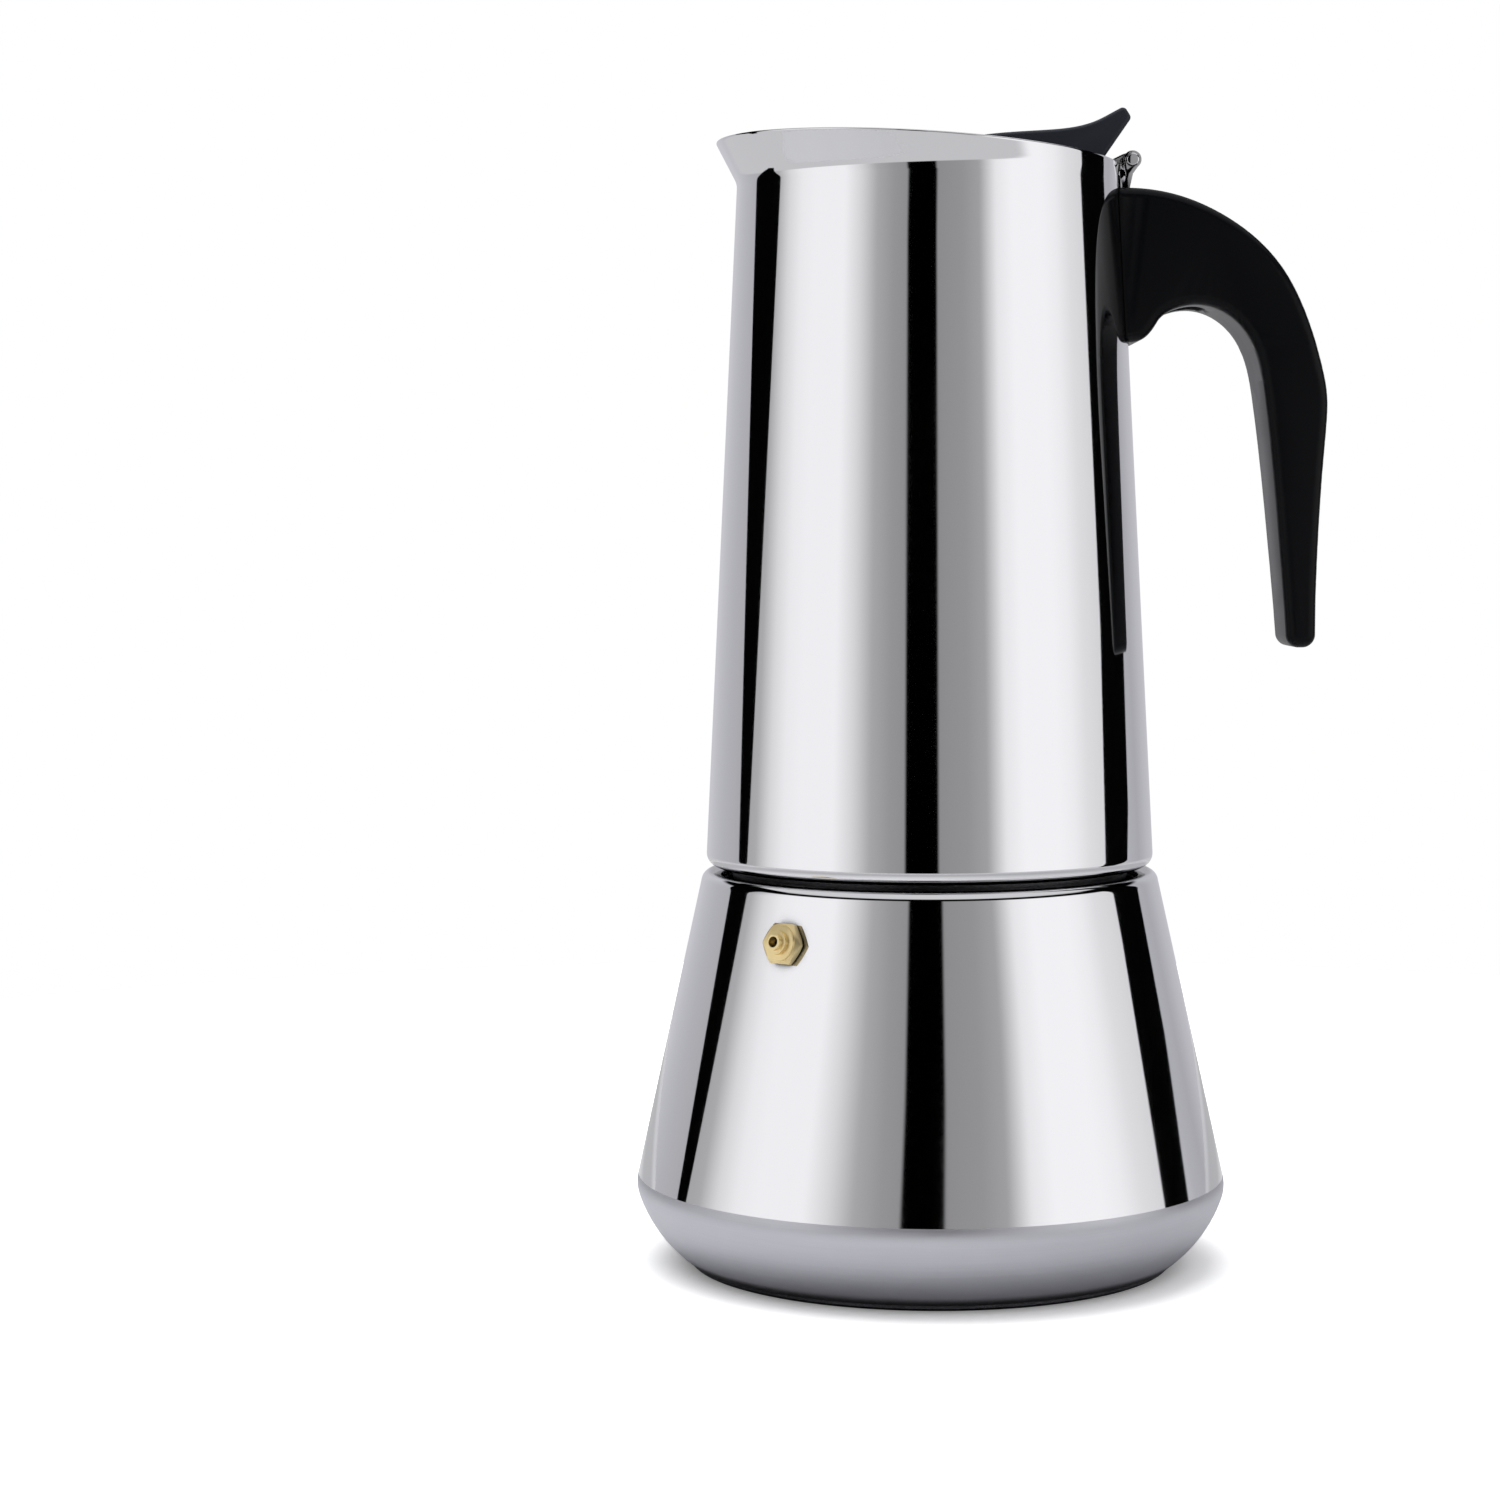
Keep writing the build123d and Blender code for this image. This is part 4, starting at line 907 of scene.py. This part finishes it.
    def camera(self, context, studio):
        data = bpy.data.cameras.new("front_view")
        camera = new_object("front_view", data)
        data.sensor_width = 36.0
        data.lens = studio.lens
        side, back = math.sin(studio.azimuth), math.cos(studio.azimuth)
        to_axis = Vector((-side, back, 0))
        left = Vector((-back, -side, 0))
        level = to_axis * math.cos(studio.yaw) + left * math.sin(studio.yaw)
        ahead = level * math.cos(studio.pitch) - Vector((0, 0, math.sin(studio.pitch)))
        right = ahead.cross(Vector((0, 0, 1))).normalized()
        up = right.cross(ahead)
        rolled_right = right * math.cos(studio.roll) - up * math.sin(studio.roll)
        rolled_up = right * math.sin(studio.roll) + up * math.cos(studio.roll)
        turn = Matrix((rolled_right, rolled_up, -ahead)).transposed().to_4x4()
        spot = Vector((side * studio.distance, -back * studio.distance, studio.height))
        camera.matrix_world = Matrix.Translation(spot) @ turn
        context.scene.camera = camera


class MAKER_OT_boiler(bpy.types.Operator):
    """Make the boiler's shell and its base disc."""

    bl_idname = "maker.boiler"
    bl_label = "Boiler"

    def execute(self, context):
        sizes = context.scene.maker_boiler
        self.shell(sizes)
        self.disc(sizes)
        return {"FINISHED"}

    def bowl(self, sizes, low):
        """The bowl's side, bulging out from the foot, and its rounding into the cone."""
        foot = Vector((sizes.foot_radius, low))
        edge = Vector((sizes.bowl_radius, sizes.bowl_height))
        shoulder = Vector((sizes.shoulder_radius, BOILER_HIGH.z))
        chord = edge - foot
        inward = Vector((-chord.y, chord.x)).normalized()
        side_radius = (chord.length_squared / 4 + sizes.bowl_bulge**2) / (2 * sizes.bowl_bulge)
        side_centre = (foot + edge) / 2 + inward * (side_radius - sizes.bowl_bulge)
        cone = (shoulder - edge).normalized()
        off_cone = edge + Vector((-cone.y, cone.x)) * sizes.bowl_round
        apart = off_cone - side_centre
        along = apart.dot(cone)
        reach = math.sqrt(along**2 - apart.length_squared + (side_radius - sizes.bowl_round) ** 2)
        round_centre = off_cone + cone * min(-along - reach, -along + reach, key=abs)
        meets_side = side_centre + (round_centre - side_centre).normalized() * side_radius
        meets_cone = round_centre + Vector((cone.y, -cone.x)) * sizes.bowl_round
        return arc(side_centre, foot, meets_side, 10) + arc(round_centre, meets_side, meets_cone, 14)[1:]

    def shell(self, sizes):
        """Polished cone with a satin bowl. The satin runs a little up on to the cone."""
        low, high = BOILER_LOW.z, BOILER_HIGH.z
        side = self.bowl(sizes, low)
        corners = [side[-1], (sizes.shoulder_radius, high), (sizes.neck_radius, high)]
        outline = [(0, low)] + side + rounded(corners, [sizes.shoulder_round])[1:]
        piece = place_turned("boiler_shell_polished", sheet_outline(outline, sizes.sheet), "boiler_shell")
        piece.data.materials.append(finish_of("base_disc"))
        for face in piece.data.polygons:
            if face.center.z < side[-1][1] + sizes.mask_overlap:
                face.material_index = 1

    def disc(self, sizes):
        radius, low, high = BASE_HIGH.y, BASE_LOW.z, BASE_HIGH.z
        soft, crisp = 0.2 * MM, 0.1 * MM
        corners = [
            (0, low), (radius - sizes.base_chamfer, low), (radius, low + sizes.base_chamfer), (radius, high),
            (0, high),
        ]
        outline = held(rounded(corners, [soft, soft, crisp], steps=4))
        place_turned("base_disc_satin", outline, "base_disc")


class MAKER_OT_screw_joint(bpy.types.Operator):
    """Make the neck and the collar with the ridges of their thread."""

    bl_idname = "maker.screw_joint"
    bl_label = "Screw joint"

    def execute(self, context):
        winding, boiler = context.scene.maker_winding, context.scene.maker_boiler
        outer, inner = boiler.neck_radius, boiler.neck_radius - boiler.neck_wall
        neck = turned(ring_outline(inner, outer, NECK_LOW.z, NECK_HIGH.z, boiler.neck_chamfer))
        self.join(neck, winding, outer, winding.depth, winding.male_turns, winding.male_start)
        place("boiler_neck_threaded", as_mesh("boiler_neck_threaded", neck), "boiler_neck")
        collar = turned(self.collar_outline(context.scene.maker_jug, winding))
        radius, inwards = winding.collar_radius, -winding.depth
        self.join(collar, winding, radius, inwards, winding.female_turns, winding.female_start)
        place("jug_thread_ring_threaded", as_mesh("jug_thread_ring_threaded", collar), "jug_thread_ring")
        return {"FINISHED"}

    def collar_outline(self, jug, winding):
        """Closed outline of the collar, which lies against the inside of the jug's cone."""
        slope = (jug.bottom_radius - jug.crease_radius) / (jug.crease_height - JUG_LOW.z)
        low, high, outer = RING_LOW.z, RING_HIGH.z, RING_HIGH.y
        bend, soft = low + jug.edge_round, 0.3 * MM
        middle = (winding.collar_radius + outer - jug.edge_round) / 2
        corners = [
            (middle, low), (outer - jug.edge_round, low), (outer, bend), (outer - slope * (high - bend), high),
            (winding.collar_radius, high), (winding.collar_radius, low), (middle, low),
        ]
        return held(rounded(corners, [soft] * 5, steps=4))[:-1]

    def join(self, bm, winding, radius, depth, turns, start):
        """Adds the ridge that the thread's tree makes to a turned piece."""
        tree = bpy.data.node_groups.get("thread_ridge") or thread_ridge_tree(finish_of("boiler_neck"))
        ridge = grown(
            "thread_ridge_carrier", tree, radius=radius, pitch=winding.pitch, turns=turns, depth=depth,
            root_width=winding.root_width, crest_width=winding.crest_width, start_height=start,
        )
        bm.from_mesh(ridge)
        bpy.data.meshes.remove(ridge)


class MAKER_OT_valve(bpy.types.Operator):
    """Make the safety valve."""

    bl_idname = "maker.valve"
    bl_label = "Safety valve"

    def execute(self, context):
        winding = context.scene.maker_winding
        lift = next(joint for joint in frame["joints"] if joint["name"] == "valve_lift")
        outwards = Vector(lift["axis"]).normalized()
        middle = (SPRING_LOW + SPRING_HIGH) / 2
        placing = Matrix.Translation(middle) @ outwards.to_track_quat("Z", "Y").to_matrix().to_4x4()
        eased_copy("valve_body", edge=0.14 * MM, tool=self.chamfer_tool(winding, placing))
        eased_copy("valve_nut", edge=0.16 * MM)
        eased_copy("valve_seat", edge=0.08 * MM)
        eased_copy("valve_poppet", edge=0.08 * MM)
        eased_copy("valve_washer")
        self.spring(winding, placing, outwards)
        return {"FINISHED"}

    def chamfer_tool(self, winding, placing):
        """A turned solid with a cone at each end of the hexagon, inside which the body keeps its corners cut."""
        back = placing.inverted()
        points = [back @ vertex.co for vertex in frame["nodes"]["valve_body"].data.vertices]
        corners = [point.z for point in points if point.xy.length > 1.1 * winding.hexagon / 2]
        low, high = min(corners), max(corners)
        flat, wide = 0.94 * winding.hexagon / 2, 0.7 * winding.hexagon
        drop = (wide - flat) * math.tan(winding.chamfer)
        clear = 4 * winding.hexagon
        outline = [
            (0, low - clear), (flat, low - clear), (flat, low), (wide, low + drop), (wide, high - drop),
            (flat, high), (flat, high + clear), (0, high + clear),
        ]
        mesh = as_mesh("chamfer_tool", turned(outline, SMALL_ROUND))
        mesh.transform(placing)
        return mesh

    def spring(self, winding, placing, outwards):
        """Winds the spring along the way that the poppet travels."""
        mesh = grown(
            "valve_spring_carrier", coil_tree(finish_of("valve_spring")), radius=winding.spring_radius,
            rise=winding.spring_rise, turns=winding.spring_turns, wire_radius=winding.wire_radius,
        )
        mesh.transform(placing @ Matrix.Translation((0, 0, -winding.spring_rise / 2)))
        piece = place("valve_spring_wound", mesh, "valve_spring")
        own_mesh(piece)


class MAKER_OT_funnel(bpy.types.Operator):
    """Make the funnel: its basket, strainer and stem."""

    bl_idname = "maker.funnel"
    bl_label = "Funnel"

    def execute(self, context):
        sizes = context.scene.maker_funnel
        neck = BASKET_LOW.z + sizes.collar
        stem = STEM_HIGH.y + sizes.sheet
        corners = [
            (stem, BASKET_LOW.z), (stem, neck), (sizes.basket_radius, neck + sizes.cone_drop),
            (sizes.basket_radius, BASKET_HIGH.z - sizes.sheet), (BASKET_HIGH.y, BASKET_HIGH.z - sizes.sheet),
        ]
        outline = sheet_outline(rounded(corners, [sizes.basket_round] * 3, steps=6), sizes.sheet)
        place_turned("funnel_basket_satin", outline, "funnel_basket")
        wall = [(STEM_HIGH.y, STEM_LOW.z), (STEM_HIGH.y, STEM_HIGH.z)]
        place_turned("funnel_stem_satin", sheet_outline(wall, sizes.thin_sheet), "funnel_stem", SMALL_ROUND)
        plate("basket_strainer_satin", "basket_strainer", sizes, STRAINER_LOW, STRAINER_HIGH)
        return {"FINISHED"}


def plate(name, node, sizes, low, high):
    """A perforated plate that stands for a CAD node, from the corners of the node's box."""
    tree = bpy.data.node_groups.get("perforated_plate") or perforated_plate_tree(finish_of(node))
    mesh = grown(
        name, tree, plate_radius=high.y, thickness=high.z - low.z, hole_radius=sizes.hole_radius,
        spacing=sizes.hole_spacing, rings=5, height=low.z,
    )
    return place(name, mesh, node)


class MAKER_OT_jug(bpy.types.Operator):
    """Make the jug's shell with its flared rim."""

    bl_idname = "maker.jug"
    bl_label = "Jug"

    def execute(self, context):
        sizes = context.scene.maker_jug
        bend, crease = sizes.crease_bend, sizes.crease_height
        slope = (sizes.bottom_radius - sizes.crease_radius) / (crease - JUG_LOW.z)
        corners = [
            (sizes.lip_radius, JUG_LOW.z), (sizes.bottom_radius, JUG_LOW.z),
            (sizes.crease_radius + slope * bend, crease - bend),
        ]
        outer = held(rounded(corners, [sizes.edge_round]))
        inner = beside(outer, sizes.sheet)
        columns = []
        for side in range(ROUND):
            turn = 2 * math.pi * side / ROUND
            across = Vector((math.cos(turn), math.sin(turn), 0))
            columns.append(self.column(sizes, slope, across, outer, inner))
        rings = list(zip(*columns))
        place("jug_shell_polished", as_mesh("jug_shell_polished", skin(rings)), "jug_shell")
        return {"FINISHED"}

    def rim_point(self, sizes, slope, across, rise):
        """A point of the outer surface near the rim, at a rise above the crease."""
        bend = sizes.crease_bend
        lean = rise if rise > bend else (rise + bend) ** 2 / (4 * bend)
        cone = -slope * (rise - lean)
        radius = sizes.crease_radius + cone + sizes.flare * lean
        return across * radius + Vector((-sizes.flare * lean, 0, sizes.crease_height + rise))

    def rim_rise(self, sizes, slope, across):
        """Height of the rim above the crease in one direction, where the wall meets the cut."""
        reach = sizes.crease_radius
        tilt = (sizes.handle_rise - sizes.spout_rise) / (2 * reach)
        curve = (sizes.handle_rise + sizes.spout_rise - 2 * sizes.middle_rise) / (2 * reach**2)
        end_slope = (sizes.spout_rise - sizes.middle_rise) / reach
        rise = sizes.middle_rise
        for _ in range(20):
            x = self.rim_point(sizes, slope, across, rise).x
            near = max(-reach, min(reach, x))
            rise = sizes.middle_rise + tilt * near + curve * near**2 - end_slope * (x - near)
        return rise

    def column(self, sizes, slope, across, outer, inner):
        """The closed section of the wall in one direction, from the lip up over the rim and back."""
        wall = sizes.sheet
        top = self.rim_rise(sizes, slope, across) - wall / 2
        bend = sizes.crease_bend
        rises = [-bend * 0.6, -bend * 0.2, bend * 0.2, bend * 0.6, bend]
        rises += [bend + (top - bend) * share for share in (0.15, 0.4, 0.65, 0.85, 0.95, 1.0)]
        up = [across * radius + Vector((0, 0, height)) for radius, height in outer]
        up += [self.rim_point(sizes, slope, across, rise) for rise in rises]
        down = [across * radius + Vector((0, 0, height)) for radius, height in inner]
        down += [point - across * wall for point in up[len(outer) :]]
        middle = (up[-1] + down[-1]) / 2
        lean = (up[-1] - up[-2]).normalized()
        turns = [math.pi * step / 8 for step in range(1, 8)]
        rolled = [middle + (up[-1] - middle) * math.cos(t) + lean * (wall / 2) * math.sin(t) for t in turns]
        return up + rolled + down[::-1]


class MAKER_OT_jug_inside(bpy.types.Operator):
    """Make what the jug holds: the gasket, filter plate, floor, riser and its cap."""

    bl_idname = "maker.jug_inside"
    bl_label = "Inside the jug"

    def execute(self, context):
        sizes, funnel = context.scene.maker_jug, context.scene.maker_funnel
        soft = 0.5 * MM
        gasket = ring_outline(funnel.gasket_inner, GASKET_HIGH.y, GASKET_LOW.z, GASKET_HIGH.z, soft)
        place_turned("sealing_gasket_moulded", gasket, "sealing_gasket")
        plate("filter_plate_satin", "filter_plate", funnel, FILTER_LOW, FILTER_HIGH)
        place_turned("jug_floor_satin", self.floor_outline(sizes), "jug_floor")
        place_turned("riser_tube_satin", self.riser_outline(sizes, funnel), "riser_tube", RISER_ROUND)
        eased_copy("riser_cap")
        return {"FINISHED"}

    def floor_outline(self, sizes):
        """Flat at its edge, and raised in the middle to the riser's foot."""
        low, high = FLOOR_LOW.z + sizes.sheet, FLOOR_LOW.z + sizes.floor_dome + sizes.sheet
        foot, radius, lap = RISER_HIGH.y, FLOOR_HIGH.y, sizes.floor_lap
        corners = [(radius, low), (radius - sizes.floor_flat, low), (foot + lap, high), (foot - lap, high)]
        return sheet_outline(rounded(corners, [sizes.floor_bend] * 2), sizes.sheet)

    def riser_outline(self, sizes, funnel):
        """Spread at the foot and a little narrower at the top."""
        corners = [
            (RISER_HIGH.y, RISER_LOW.z), (sizes.riser_throat, RISER_LOW.z + sizes.riser_foot),
            (sizes.riser_top, RISER_HIGH.z),
        ]
        return sheet_outline(rounded(corners, [sizes.riser_throat]), funnel.thin_sheet)


class MAKER_OT_handle(bpy.types.Operator):
    """Make the handle: its bracket, grip, screw and washer, and the hinge pin."""

    bl_idname = "maker.handle"
    bl_label = "Handle"

    def execute(self, context):
        eased_copy("handle_bracket", edge=0.12 * MM)
        eased_copy("handle_grip")
        eased_copy("handle_screw")
        eased_copy("handle_washer", edge=0.1 * MM)
        eased_copy("hinge_pin", edge=0.08 * MM)
        return {"FINISHED"}


class MAKER_OT_lid(bpy.types.Operator):
    """Make the lid: its shell, hinge leaf, lever, screw and washer."""

    bl_idname = "maker.lid"
    bl_label = "Lid"

    def execute(self, context):
        sizes = context.scene.maker_lid
        edge, crown = LID_HIGH.z - sizes.crown_rise, LID_HIGH.z
        corners = [
            (LID_HIGH.y, LID_LOW.z), (LID_HIGH.y, edge), (sizes.crown_radius + sizes.slope_width, edge),
            (sizes.crown_radius, crown), (0, crown),
        ]
        outline = sheet_outline(rounded(corners, [2 * sizes.sheet, sizes.bend, sizes.bend]), sizes.sheet)
        place_turned("lid_shell_polished", outline, "lid_shell")
        eased_copy("lid_leaf", edge=0.12 * MM)
        eased_copy("lid_lever")
        eased_copy("lever_screw")
        eased_copy("lever_washer", edge=0.1 * MM)
        return {"FINISHED"}


class MAKER_PT_panel(bpy.types.Panel):
    """The maker's operators and sizes."""

    bl_idname = "MAKER_PT_panel"
    bl_label = "Coffee Maker"
    bl_space_type = "VIEW_3D"
    bl_region_type = "UI"
    bl_category = "Coffee Maker"

    def draw(self, context):
        column = self.layout.column(align=True)
        for operator in OPERATORS:
            column.operator(operator.bl_idname)
        for name in GROUPS:
            group = getattr(context.scene, name)
            box = self.layout.box()
            for size in group.__annotations__:
                box.prop(group, size)


GROUPS = {
    "maker_boiler": BoilerSizes,
    "maker_winding": WindingSizes,
    "maker_funnel": FunnelSizes,
    "maker_jug": JugSizes,
    "maker_lid": LidSizes,
    "maker_colours": FinishColours,
    "maker_studio": StudioSettings,
}
OPERATORS = (
    MAKER_OT_stage, MAKER_OT_boiler, MAKER_OT_screw_joint, MAKER_OT_valve, MAKER_OT_funnel, MAKER_OT_jug,
    MAKER_OT_jug_inside, MAKER_OT_handle, MAKER_OT_lid,
)


def register():
    """Registers the classes and gives the scene its groups of sizes."""
    for name, group in GROUPS.items():
        bpy.utils.register_class(group)
        setattr(bpy.types.Scene, name, bpy.props.PointerProperty(type=group))
    for operator in OPERATORS:
        bpy.utils.register_class(operator)
    bpy.utils.register_class(MAKER_PT_panel)


def unregister():
    """Takes away what register added."""
    bpy.utils.unregister_class(MAKER_PT_panel)
    for operator in reversed(OPERATORS):
        bpy.utils.unregister_class(operator)
    for name, group in reversed(GROUPS.items()):
        delattr(bpy.types.Scene, name)
        bpy.utils.unregister_class(group)


def main():
    """Builds the stage and every piece."""
    register()
    bpy.ops.maker.stage()
    bpy.ops.maker.boiler()
    bpy.ops.maker.screw_joint()
    bpy.ops.maker.valve()
    bpy.ops.maker.funnel()
    bpy.ops.maker.jug()
    bpy.ops.maker.jug_inside()
    bpy.ops.maker.handle()
    bpy.ops.maker.lid()


if __name__ == "__main__":
    main()
